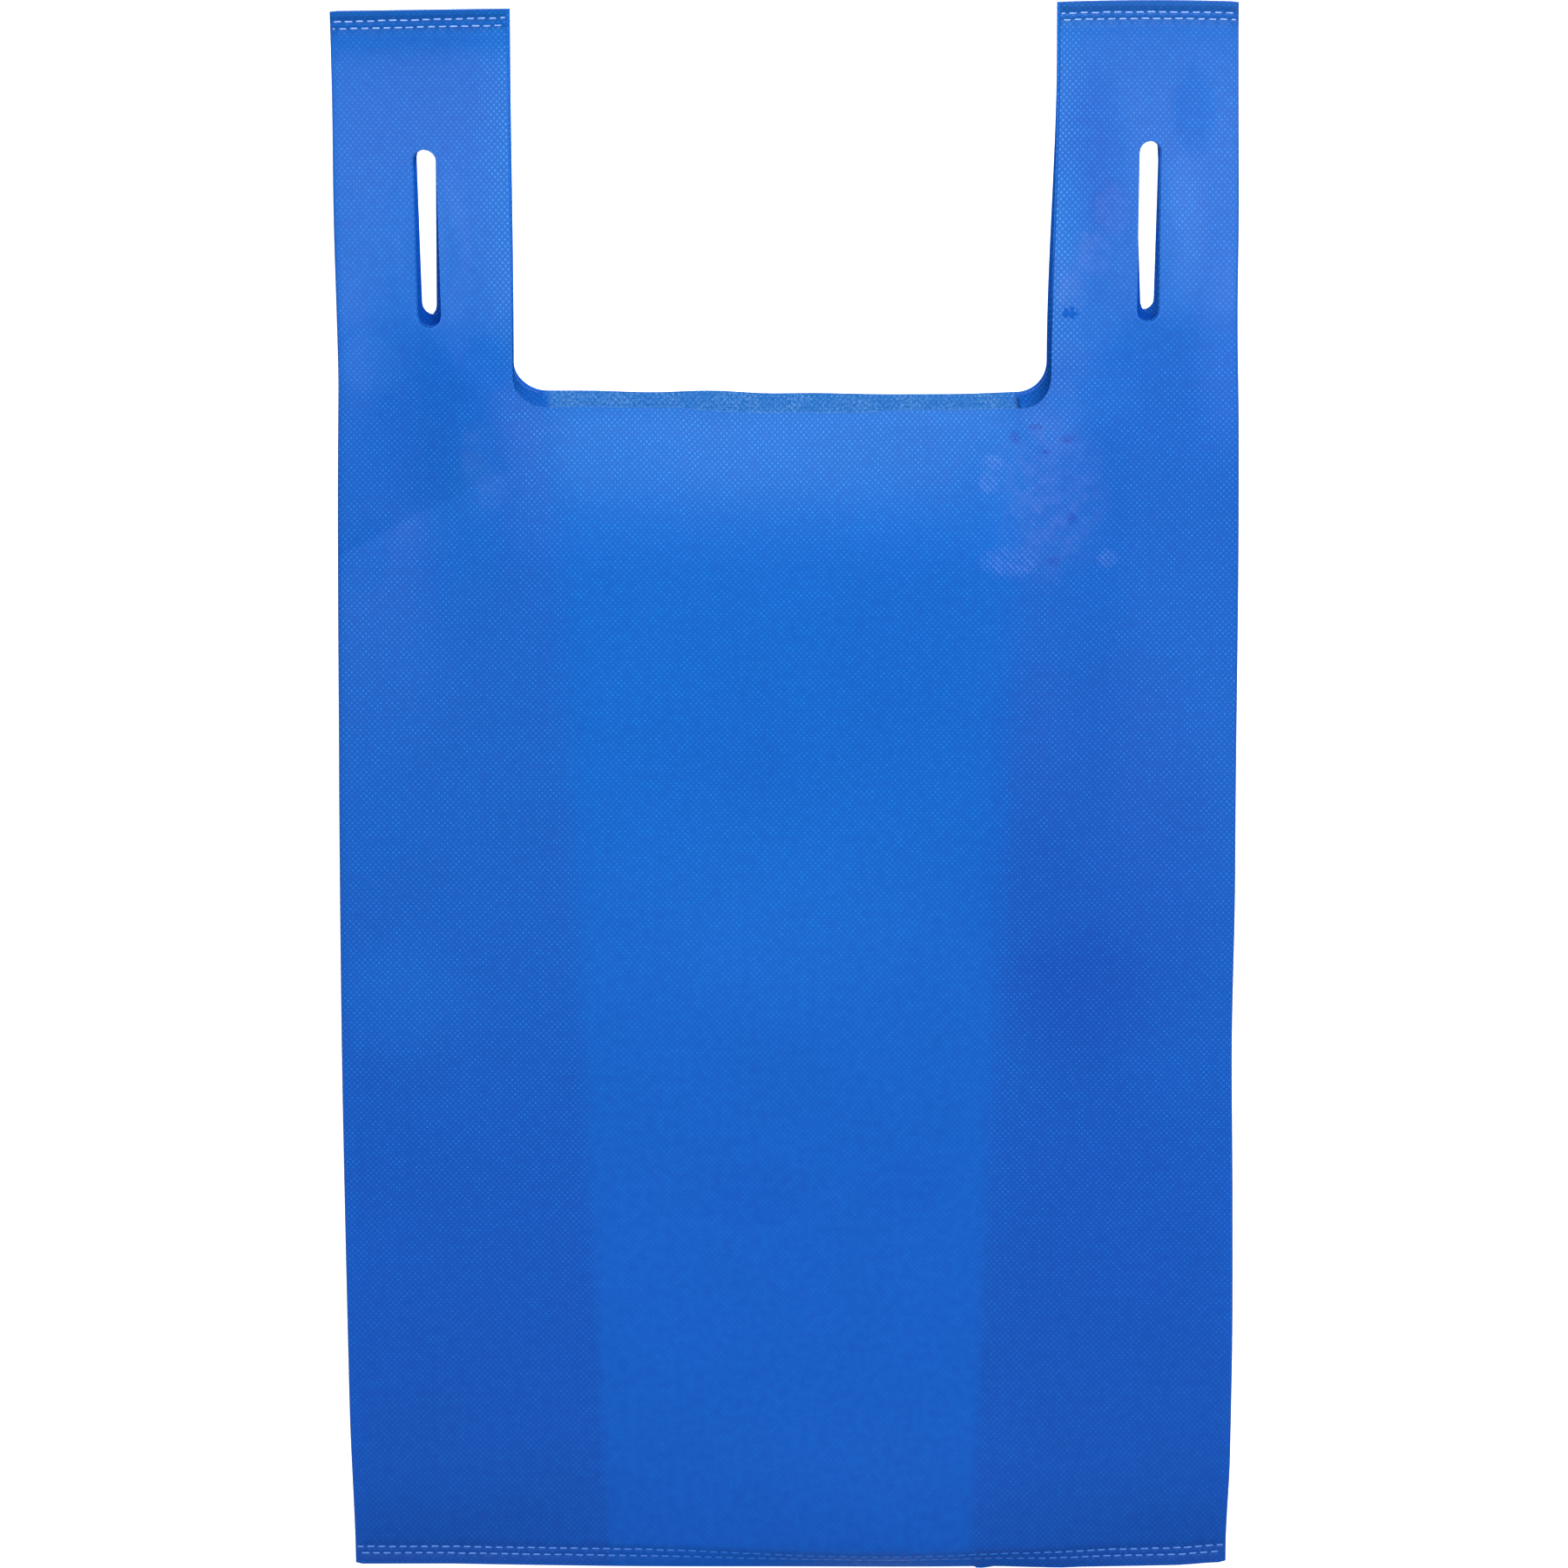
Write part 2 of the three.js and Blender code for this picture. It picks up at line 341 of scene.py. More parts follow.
def front_height(across, v):
    """Height of the front panel over the floor."""
    climb = rise(np.minimum(v, MOUTH_AT))
    edge = lerp(STACK_HEIGHT, MOUTH_LOFT, climb)
    dip = lerp(2 * LAYER, CENTRE_SAG, climb) * bell(across, 0, HALF_WIDTH - gusset_depth(v))
    droop = np.clip((v - MOUTH_AT + LIP_SAG_LENGTH) / LIP_SAG_LENGTH, 0, 1) ** LIP_CURVE
    lip = LIP_SAG * droop * climb * (1 - smoothstep(np.abs(across), *LIP_ENDS))
    body = edge - dip - lip + swells(across, v)
    return lerp(body, shoulder_height(across, v), shoulder_share(across, v))


def hem_ridge(across, v):
    """The bottom hem's ridge: its height and its shift along the bag."""
    share = bell(across, RIDGE_MIDDLE, RIDGE_REACH)
    lean = np.clip(v / RIDGE_AT, 0, 1) ** RIDGE_CURVE
    height = RIDGE_HEIGHT * share * lean * (1 - smoothstep(v, RIDGE_AT, RIDGE_END))
    return height, -RIDGE_PULL * share * plateau(v, *RIDGE_PULL_ALONG)


def hem_peek(across, v):
    """How far the lower layers shift along the bag at the bottom edge, where they show past the front."""
    return -bells(across, PEEK_BELLS) * (1 - smoothstep(v, 0, PEEK_END))


def left_edge_shift(v):
    """How far the left edge lies to the right of its plain place."""
    curve = -LEFT_BOW * np.sin(math.pi * np.clip(v / LEFT_BOW_LENGTH, 0, 1))
    foot = LEFT_FOOT * (1 - smoothstep(v, *LEFT_FOOT_ALONG))
    lean = -LEFT_LEAN * np.clip((v - LEFT_LEAN_FROM) / LEFT_LEAN_LENGTH, 0, LEFT_LEAN_MOST)
    return curve + foot + lean + bells(v, LEFT_EDGE_BELLS)


def right_edge_shift(v):
    """How far the right edge lies to the right of its plain place."""
    return RIGHT_OUT * smoothstep(v, *RIGHT_FOOT_ALONG) + bells(v, RIGHT_EDGE_BELLS)


def side_shift(across, v):
    """How far the cloth lies to the right of its plain place."""
    left = across < 0
    outer = np.where(left, left_edge_shift(v), right_edge_shift(v))
    left_inner = lerp(*LEFT_INNER, smoothstep(v, *LEFT_INNER_ALONG))
    right_inner = lerp(*RIGHT_INNER, smoothstep(v, *RIGHT_INNER_ALONG))
    into_handle = np.clip((HALF_WIDTH - np.abs(across)) / HANDLE_WIDTH, 0, 1)
    on_handle = lerp(outer, np.where(left, left_inner, right_inner), into_handle)
    on_handle = on_handle * smoothstep(np.abs(across), *HANDLES_ACROSS)
    on_body = outer * np.clip(np.abs(across) / HALF_WIDTH, 0, 1) ** 2
    return lerp(on_body, on_handle, smoothstep(v, *HANDLES_ALONG))


def back_shift(across, v):
    """The lower layers of the handles lie a little nearer to the middle."""
    off_middle = np.sign(across) * smoothstep(np.abs(across), *BACK_ACROSS)
    return -off_middle * np.where(across < 0, *BACK_INWARD) * plateau(v, *BACK_ALONG)


def bottom_shift(across, v):
    """The bottom edge bows out."""
    out = bow(across, *BOTTOM_BOW) + bells(across, BOTTOM_BELLS)
    out = out + BOTTOM_STEP * plateau(across, *BOTTOM_STEP_ACROSS)
    return -out * (1 - smoothstep(v, 0, BOTTOM_END))


def handle_shift(across, v):
    """The left handle lies lower and turned, the right one higher and with a bowed top."""
    drop = LEFT_DROP * smoothstep(v, *LEFT_DROP_ALONG)
    turn = LEFT_TURN * (across + HANDLE_MIDDLE) * smoothstep(v, *LEFT_TURN_ALONG)
    lift = RIGHT_LIFT * smoothstep(v, *RIGHT_LIFT_ALONG)
    top = (bow(across, *RIGHT_TOP_BOW) - RIGHT_TOP_DROP) * smoothstep(v, *RIGHT_TOP_ALONG)
    left = smoothstep(-across, *HANDLE_SIDES)
    right = smoothstep(across, *HANDLE_SIDES)
    return (turn - drop) * left + (lift + top) * right


def trim_shift(across, v):
    """The folded corners of the bottom and of the handle tops are rounded a little."""
    by_fold = smoothstep(np.abs(across), HALF_WIDTH - TRIM_WIDTH, HALF_WIDTH)
    bottom = BOTTOM_TRIM * (1 - smoothstep(v, 0, TRIM_LENGTH))
    top = TOP_TRIM * smoothstep(v, BAG_LENGTH - TRIM_LENGTH, BAG_LENGTH)
    return by_fold * (bottom - top)


def lip_shift(across, v):
    """The front's lip draws back from the back's."""
    dip = plateau(across, *LIP_DIP_ACROSS) + bells(across, LIP_DIP_BELLS)
    retreat = LIP_RETREAT + LIP_DIP * dip + LIP_CORNER_RETREAT * smoothstep(np.abs(across), *LIP_CORNERS)
    return -retreat * bell(v, MOUTH_AT, LIP_RETREAT_REACH)


def in_bend(u, fold):
    """Which points lie in a fold's bend, and the sine and cosine of how far each has turned round it."""
    part = (u > fold - FOLD_REACH) & (u <= fold + FOLD_REACH)
    turn = math.pi * (u - fold + FOLD_REACH) / (2 * FOLD_REACH)
    return part, np.sin(turn), np.cos(turn)


def in_gusset(u, start, end):
    """Which points lie in the gusset's layer between two folds, and how far along it each lies."""
    part = (u > start + FOLD_REACH) & (u <= end - FOLD_REACH)
    return part, (u - start - FOLD_REACH) / (end - start - 2 * FOLD_REACH)


def place(s, v):
    """Points of the cloth's middle surface, in millimetres."""
    side = np.where(s < 0, -1.0, 1.0)
    u = np.abs(s)
    gap = LAYER + FOLD_OPENING * rise(v)
    outermost = HALF_WIDTH - (gap + SHEET) / 2
    innermost = HALF_WIDTH - gusset_depth(v) + (gap + SHEET) / 2
    edge = front_height(side * outermost, v)
    parted = smoothstep(v, MOUTH_AT - PARTING_START, MOUTH_AT + PARTING_LENGTH)
    low_fold = BACK_HEIGHT + 2 * gap
    x = np.zeros_like(u)
    z = np.zeros_like(u)
    front_share = np.zeros_like(u)

    # the front panel and the fold at its side
    part = u <= FRONT_FOLD - FOLD_REACH
    x[part] = (u / (FRONT_FOLD - FOLD_REACH) * outermost)[part]
    z[part] = front_height(side * x, v)[part]
    front_share[part] = 1
    part, sine, cosine = in_bend(u, FRONT_FOLD)
    x[part] = (outermost + gap / 2 * sine)[part]
    z[part] = (edge - gap / 2 + gap / 2 * cosine)[part]
    front_share[part] = 1

    # the gusset's upper layer, which hugs the front above the mouth, its fold and its lower layer
    part, t = in_gusset(u, FRONT_FOLD, INNER_FOLD)
    inward = lerp(outermost, innermost, t)
    hugging = front_height(side * inward, v) - gap
    hanging = lerp(edge - gap, low_fold, smoothstep(t, 0, 1))
    x[part] = inward[part]
    z[part] = lerp(hanging, hugging, parted)[part]
    front_share[part] = lerp(1 - t, 1.0, parted)[part]
    part, sine, cosine = in_bend(u, INNER_FOLD)
    x[part] = (innermost - gap / 2 * sine)[part]
    z[part] = (low_fold - gap / 2 + gap / 2 * cosine)[part]
    part, t = in_gusset(u, INNER_FOLD, BACK_FOLD)
    x[part] = lerp(innermost, outermost, t)[part]
    z[part] = (BACK_HEIGHT + gap)[part]

    # the fold at the side of the back, and the back panel
    part, sine, cosine = in_bend(u, BACK_FOLD)
    x[part] = (outermost + gap / 2 * sine)[part]
    z[part] = (BACK_HEIGHT + gap / 2 + gap / 2 * cosine)[part]
    part = u > BACK_FOLD + FOLD_REACH
    x[part] = (outermost * (1 - (u - BACK_FOLD - FOLD_REACH) / (HALF_WIDTH - FOLD_REACH)))[part]
    z[part] = BACK_HEIGHT

    across = side * x
    peek = hem_peek(across, v) * (1 - front_share)
    ridge, pull = hem_ridge(across, v + peek)
    y = v - BAG_LENGTH / 2 + bottom_shift(across, v) + handle_shift(across, v) + trim_shift(across, v)
    y = y + lip_shift(across, v) * front_share + peek + pull
    across = across + side_shift(across, v) + back_shift(across, v) * (1 - front_share)
    return np.stack([across, y, z + ridge * (1 + PEEK_DROP * peek)], axis=1)


def outward(s, v):
    """Unit normals of the cloth, out of the bag."""
    along_s = place(s + NORMAL_STEP, v) - place(s - NORMAL_STEP, v)
    along_v = place(s, v + NORMAL_STEP) - place(s, v - NORMAL_STEP)
    normal = np.cross(along_s, along_v)
    return normal / np.linalg.norm(normal, axis=1, keepdims=True)


# The cut web

def across_of(s):
    """How far across the bag a point of the web lies when the bag is folded flat, at the mouth."""
    side = np.where(s < 0, -1.0, 1.0)
    u = np.abs(s)
    x = np.where(u <= FRONT_FOLD, u, HALF_WIDTH - (u - FRONT_FOLD) / GUSSET_STRETCH)
    x = np.where(u > INNER_FOLD, HALF_WIDTH - (BACK_FOLD - u) / GUSSET_STRETCH, x)
    x = np.where(u > BACK_FOLD, HALF_WEB - u, x)
    return side * x


def cut_wander(points):
    """The knife's line wanders a little along the mouth."""
    x = across_of(points[:, 0])
    v = points[:, 1]
    off = CUT_OFFSET + CUT_BOW * (x - CUT_BOW_AT) ** 2 + CUT_RIPPLE * np.sin(x / CUT_RIPPLE_LENGTH)
    off = off + bells(x, CUT_BELLS)
    off = off * (1 - smoothstep(v, MOUTH_AT, MOUTH_AT + CUT_END)) * (v > MOUTH_AT - CUT_START)
    return np.stack([points[:, 0], v + off], axis=1)


def web_columns():
    """Values of s for the mesh's columns, crowded round the folds."""
    bend = np.linspace(-FOLD_REACH, FOLD_REACH, FOLD_STEPS)
    half = [0.0]
    stops = (0.0, FRONT_FOLD, INNER_FOLD, BACK_FOLD, HALF_WEB)
    for start, end in zip(stops[:-1], stops[1:]):
        first = start + (FOLD_MARGIN if start > 0 else 0)
        last = end - (FOLD_MARGIN if end < HALF_WEB else 0)
        count = math.ceil((last - first) / CELL)
        half.extend(np.linspace(first, last, count + 1))
        if end < HALF_WEB:
            half.extend(end + bend)
    half = np.unique(np.round(half, 6))
    return np.concatenate([-half[:0:-1], half])


def web_rows():
    """Values of v for the mesh's rows, crowded at the hems and set between the weld rows."""
    high = [BAG_LENGTH - x for x in HIGH_ROWS]
    count = math.ceil((high[0] - LOW_ROWS[-1]) / CELL)
    middle = np.linspace(LOW_ROWS[-1], high[0], count + 1)[1:-1]
    return np.concatenate([LOW_ROWS, middle, high])


def corner(centre, turn, radii):
    """An arc round a centre, between two angles in degrees."""
    angle = np.radians(np.linspace(*turn, CORNER_STEPS + 1))
    return np.stack([centre[0] + radii[0] * np.cos(angle), centre[1] + radii[1] * np.sin(angle)], axis=1)


def upright(s, v_from, v_to, rows):
    """Points up or down a straight edge at s, one at each row."""
    low, high = min(v_from, v_to), max(v_from, v_to)
    v = rows[(rows > low + ROW_CLEARANCE) & (rows < high - ROW_CLEARANCE)]
    v = v if v_to > v_from else v[::-1]
    return np.stack([np.full_like(v, s), v], axis=1)


def level(v, s_from, s_to, columns):
    """Points along a straight edge at v, one at each column."""
    low, high = min(s_from, s_to), max(s_from, s_to)
    s = columns[(columns > low + COLUMN_CLEARANCE) & (columns < high - COLUMN_CLEARANCE)]
    s = s if s_to > s_from else s[::-1]
    return np.stack([s, np.full_like(s, v)], axis=1)


def notch(right, left, stretch, rows, columns):
    """The edge of a cut-out at the top of the web, from its right top corner to its left one."""
    rs, rv = MOUTH_CORNER * stretch, MOUTH_CORNER
    return np.concatenate([
        [[right, BAG_LENGTH]],
        upright(right, BAG_LENGTH, MOUTH_AT + rv, rows),
        corner((right - rs, MOUTH_AT + rv), (0, -90), (rs, rv)),
        level(MOUTH_AT, right - rs, left + rs, columns),
        corner((left + rs, MOUTH_AT + rv), (-90, -180), (rs, rv)),
        upright(left, MOUTH_AT + rv, BAG_LENGTH, rows),
        [[left, BAG_LENGTH]],
    ])


def web_outline(rows, columns):
    """The outline of the cut web, anticlockwise from the bottom left."""
    gusset_cut = HANDLE_WIDTH * GUSSET_STRETCH
    r = MOUTH_CORNER
    back_edge = HALF_WEB - HANDLE_EDGE
    top = BAG_LENGTH
    half_notch = np.concatenate([
        [[HALF_WEB, MOUTH_AT]],
        level(MOUTH_AT, HALF_WEB, back_edge + r, columns),
        corner((back_edge + r, MOUTH_AT + r), (-90, -180), (r, r)),
        upright(back_edge, MOUTH_AT + r, top, rows),
        [[back_edge, top]],
    ])
    right = np.concatenate([
        upright(HALF_WEB, 0, MOUTH_AT, rows),
        half_notch,
        level(top, back_edge, BACK_FOLD - gusset_cut, columns),
        notch(BACK_FOLD - gusset_cut, FRONT_FOLD + gusset_cut, GUSSET_STRETCH, rows, columns),
        level(top, FRONT_FOLD + gusset_cut, HANDLE_EDGE, columns),
    ])
    left = right[::-1] * [-1, 1]
    bottom = np.concatenate([
        [[-HALF_WEB, 0.0]], level(0.0, -HALF_WEB, HALF_WEB, columns), [[HALF_WEB, 0.0]],
    ])
    front = notch(HANDLE_EDGE, -HANDLE_EDGE, 1.0, rows, columns)
    return cut_wander(np.concatenate([bottom, right, front, left]))


def stadium(centre, length, width, turn, steps):
    """A closed outline with straight sides and round ends, lying along s if turn is 0."""
    radius = width / 2
    arm = length / 2 - radius
    angle = np.linspace(-math.pi / 2, math.pi / 2, steps)
    end = np.stack([arm + radius * np.cos(angle), radius * np.sin(angle)], axis=1)
    loop = np.concatenate([end, -end])
    c, s = math.cos(turn), math.sin(turn)
    loop = loop @ np.array([[c, s], [-s, c]])
    return loop + centre


def slot_outlines():
    """The hanging slots, cut through the four layers of each handle."""
    loops = []
    for hand, side in enumerate((-1, 1)):
        length = SLOT_LENGTH[hand]
        middle = BAG_LENGTH - SLOT_FROM_TOP - length / 2
        x = side * HANDLE_MIDDLE + SLOT_SHIFT[hand]
        plain = stadium((x, middle), length, SLOT_WIDTH[hand], math.pi / 2, SLOT_STEPS)
        lowness = np.clip((middle + length / 2 - plain[:, 1]) / length, 0, 1) ** SLIP_CURVE[hand]
        slips = (FRONT_SLOT_SLIP[hand], FRONT_SLOT_SLIP[hand], GUSSET_SLOT_SLIP[hand], BACK_SLOT_SLIP[hand])
        drops = (0.0, 0.0, GUSSET_SLOT_DROP[hand], BACK_SLOT_DROP[hand])
        for layer, (slip, drop) in enumerate(zip(slips, drops)):
            from_side = HALF_WIDTH - side * (plain[:, 0] + lerp(*slip, lowness))
            u = (
                HALF_WIDTH - from_side,
                FRONT_FOLD + from_side * GUSSET_STRETCH,
                BACK_FOLD - from_side * GUSSET_STRETCH,
                BACK_FOLD + from_side,
            )[layer]
            loops.append(np.stack([side * u, plain[:, 1] - drop * lowness], axis=1))
    return loops


def dash_row(x_from, x_to, v_from, v_to, pitch, phase, random):
    """Places, lengths and turns of the dashes of one weld row, cut off where the cloth ends."""
    dashes = []
    count = math.ceil((x_to - x_from) / pitch) + 1
    for i in range(-1, count):
        wander, stretch, turn = random.uniform(-1, 1, 3)
        length = DASH_LENGTH * (1 + DASH_STRETCH * stretch)
        first = x_from + phase + i * pitch - length / 2
        start = max(first, x_from + DASH_MARGINS[0])
        end = min(first + length, x_to - DASH_MARGINS[1])
        if end - start > SHORTEST_DASH:
            x = (start + end) / 2
            v = lerp(v_from, v_to, (x - x_from) / (x_to - x_from))
            dashes.append((x, v + wander * DASH_JITTER, end - start, DASH_TURN * turn))
    return dashes


def weld_dashes():
    """Every weld dash on the front and on the back: its place on the web, its length and its turn."""
    random = np.random.RandomState(SEED)
    edge = HALF_WIDTH - FOLD_REACH
    front = []
    for left, right, phase in BOTTOM_ROWS:
        front += dash_row(-edge, edge, left, right, BOTTOM_PITCH, phase, random)
    for rows, low, high in ((LEFT_TOP_ROWS, -edge, -HANDLE_EDGE), (RIGHT_TOP_ROWS, HANDLE_EDGE, edge)):
        for left, right, phase in rows:
            front += dash_row(low, high, BAG_LENGTH - left, BAG_LENGTH - right, TOP_PITCH, phase, random)
    back = [
        (math.copysign(HALF_WEB - abs(x), x), v, length, -turn)
        for x, v, length, turn in front if abs(x) > length
    ]
    return front + back


def dash_distance(points, dashes):
    """Distance of each point to the nearest dash's middle line, looked up only where it is near."""
    nearest = np.full(len(points), FAR)
    for s, v, length, _ in dashes:
        near = np.nonzero((np.abs(points[:, 0] - s) < DASH_NEAR) & (np.abs(points[:, 1] - v) < DASH_NEAR))[0]
        off = points[near] - [s, v]
        beyond = np.maximum(np.abs(off[:, 0]) - (length - DASH_WIDTH) / 2, 0)
        nearest[near] = np.minimum(nearest[near], np.hypot(beyond, off[:, 1]))
    return nearest


def inside(points, loop):
    """Which points lie in a closed outline."""
    result = np.zeros(len(points), bool)
    x, y = points[:, 0], points[:, 1]
    for (x0, y0), (x1, y1) in zip(loop, np.roll(loop, -1, axis=0)):
        if y0 == y1:
            continue
        crosses = (y0 > y) != (y1 > y)
        result ^= crosses & (x < x0 + (y - y0) / (y1 - y0) * (x1 - x0))
    return result


def edge_distance(points, loop):
    """Distance of each point to an outline, looked up only where it is near."""
    nearest = np.full(len(points), FAR)
    order = np.argsort(points[:, 0])
    sorted_x = points[order, 0]
    for a, b in zip(loop, np.roll(loop, -1, axis=0)):
        low = np.searchsorted(sorted_x, min(a[0], b[0]) - EDGE_NEAR)
        high = np.searchsorted(sorted_x, max(a[0], b[0]) + EDGE_NEAR)
        near = order[low:high]
        line = b - a
        t = np.clip(((points[near] - a) @ line) / (line @ line), 0, 1)
        gap = np.hypot(*(points[near] - a - t[:, None] * line).T)
        nearest[near] = np.minimum(nearest[near], gap)
    return nearest


def crease_points():
    """Three close rows of points along the left shoulder's crease, to make its fold sharp."""
    start, end = np.array(CREASE_FROM), np.array(CREASE_TO)
    length = np.linalg.norm(end - start)
    way = (end - start) / length
    up = np.array([-way[1], way[0]])
    along = np.arange(CREASE_FROM_FOLD / way[0] + CREASE_ROWS[-1], length, CREASE_STEP)
    return np.concatenate([start + along[:, None] * way + off * up for off in CREASE_ROWS])


def web_grid(outline, slots, dashes, rows, columns):
    """The web's inner points, clear of every edge and dash, and set close along the crease."""
    grid = np.stack(np.meshgrid(columns, rows), axis=-1).reshape(-1, 2)
    grid = grid[inside(grid, outline) & (edge_distance(grid, outline) > OUTLINE_CLEARANCE)]
    for loop in slots:
        grid = grid[~inside(grid, loop) & (edge_distance(grid, loop) > SLOT_CLEARANCE)]
    grid = grid[dash_distance(grid, dashes) > DASH_WIDTH / 2 + DASH_SHOULDER + DASH_CLEARANCE]
    by_crease = np.abs(crease_distance(grid[:, 0], grid[:, 1])) < CREASE_CLEARANCE
    by_crease &= (grid[:, 0] > CREASE_FROM[0] + CREASE_FROM_FOLD) & (grid[:, 0] < CREASE_TO[0])
    return np.concatenate([grid[~by_crease], crease_points()])


def triangulate(loops, grid):
    """Triangles that keep every side of the loops: corners, faces, and which given point each corner was."""
    starts = np.cumsum([0] + [len(loop) for loop in loops])
    edges = []
    for start, loop in zip(starts, loops):
        edges += [(start + i, start + (i + 1) % len(loop)) for i in range(len(loop))]
    flat = [Vector(p) for p in np.concatenate(loops + [grid]).tolist()]
    corners, _, faces, origin, _, _ = delaunay_2d_cdt(flat, edges, [], 0, CUT_PRECISION)
    corners = np.array([tuple(c) for c in corners])
    faces = np.array([f for f in faces if len(f) == 3])
    return corners, faces, np.array([o[0] if o else -1 for o in origin])


def cut_web():
    """Triangles of the flat web: points (s, v), faces, how deep each point is pressed, and which faces are
    the floors and the slopes of weld dashes."""
    rows, columns = web_rows(), web_columns()
    outline = web_outline(rows, columns)
    slots = slot_outlines()
    dashes = weld_dashes()
    grid = web_grid(outline, slots, dashes, rows, columns)
    loops = [outline] + slots
    floor_of = [np.full(len(loop), -1) for loop in loops]
    for index, (s, v, length, turn) in enumerate(dashes):
        rim = stadium((s, v), length + 2 * DASH_SHOULDER, DASH_WIDTH + 2 * DASH_SHOULDER, turn, DASH_STEPS)
        floor = stadium((s, v), length, DASH_WIDTH, turn, DASH_STEPS)
        loops += [rim, floor]
        floor_of += [np.full(len(rim), -1), np.full(len(floor), index)]
    floor_of = np.concatenate(floor_of + [np.full(len(grid), -1)])

    points, faces, first = triangulate(loops, grid)
    floor_of = np.where(first >= 0, floor_of[first], -1)
    middles = points[faces].mean(axis=1)
    keep = inside(middles, outline)
    for loop in slots:
        keep &= ~inside(middles, loop)
    faces = faces[keep]
    a, b, c = points[faces].transpose(1, 0, 2)
    turned = (b[:, 0] - a[:, 0]) * (c[:, 1] - a[:, 1]) - (b[:, 1] - a[:, 1]) * (c[:, 0] - a[:, 0])
    faces[turned < 0] = faces[turned < 0][:, ::-1]
    faces = faces[np.abs(turned) > SMALLEST_FACE]
    of_face = floor_of[faces]
    weld = (of_face[:, 0] >= 0) & (of_face == of_face[:, :1]).all(axis=1)
    slope = (of_face >= 0).any(axis=1) & ~weld
    return points, faces, np.where(floor_of >= 0, DASH_DEPTH, 0.0), weld, slope


def cloth_coordinates(points):
    """The pattern's coordinates on the web, undistorted in the gussets, whose depth changes along the bag."""
    s, v = points[:, 0], points[:, 1]
    u = np.abs(s)
    share = gusset_depth(v) / GUSSET_DEPTH
    in_upper = (u > FRONT_FOLD) & (u <= INNER_FOLD)
    in_lower = (u > INNER_FOLD) & (u <= BACK_FOLD)
    u = np.where(in_upper, FRONT_FOLD + (u - FRONT_FOLD) * share, u)
    u = np.where(in_lower, BACK_FOLD + (u - BACK_FOLD) * share, u)
    return np.stack([np.where(s < 0, -u, u), v], axis=1)


# The mesh

# The places of the materials on the mesh
OUTSIDE, INSIDE, WELD, EDGE, SLOPE = range(5)


def chart(points, span):
    """The web laid out in the square of a texture, between two heights of it."""
    across = lerp(CHART_MARGIN, 1 - CHART_MARGIN, (points[:, 0] + HALF_WEB) / (2 * HALF_WEB))
    return np.stack([across, lerp(*span, points[:, 1] / BAG_LENGTH)], axis=1)


def seam_partners(points):
    """The number of each point, the same for both where the web's two ends meet in the middle of the back."""
    joined = np.arange(len(points))
    right = np.nonzero(np.abs(points[:, 0] - HALF_WEB) < SEAM_PRECISION)[0]
    left = np.nonzero(np.abs(points[:, 0] + HALF_WEB) < SEAM_PRECISION)[0]
    left_at = {round(points[i, 1], SEAM_DIGITS): i for i in left}
    for i in right:
        joined[i] = left_at[round(points[i, 1], SEAM_DIGITS)]
    return joined


def open_sides(faces, shared):
    """The sides that one face alone has, in the shared numbers and in those of the flat web."""
    ends = ([0, 1], [1, 2], [2, 0])
    sides = np.concatenate([shared[:, pair] for pair in ends])
    flat_sides = np.concatenate([faces[:, pair] for pair in ends])
    low, high = np.sort(sides, axis=1).T
    _, index, uses = np.unique(low * (high.max() + 1) + high, return_index=True, return_counts=True)
    alone = index[uses == 1]
    return sides[alone], flat_sides[alone]


def add_coordinates(mesh, name, values):
    """A layer of texture coordinates, one pair for each corner of each face."""
    mesh.uv_layers.new(name=name).data.foreach_set("uv", values.astype(np.float32).ravel())


def keep_crisp(mesh, pairs):
    """Marks the edges between pairs of vertices as sharp."""
    keys = {tuple(pair) for pair in np.sort(pairs, axis=1).tolist()}
    ends = np.zeros(len(mesh.edges) * 2, np.int32)
    mesh.edges.foreach_get("vertices", ends)
    ends = np.sort(ends.reshape(-1, 2), axis=1)
    sharp = np.array([tuple(pair) in keys for pair in ends.tolist()])
    mesh.attributes.new("sharp_edge", "BOOLEAN", "EDGE").data.foreach_set("value", sharp)


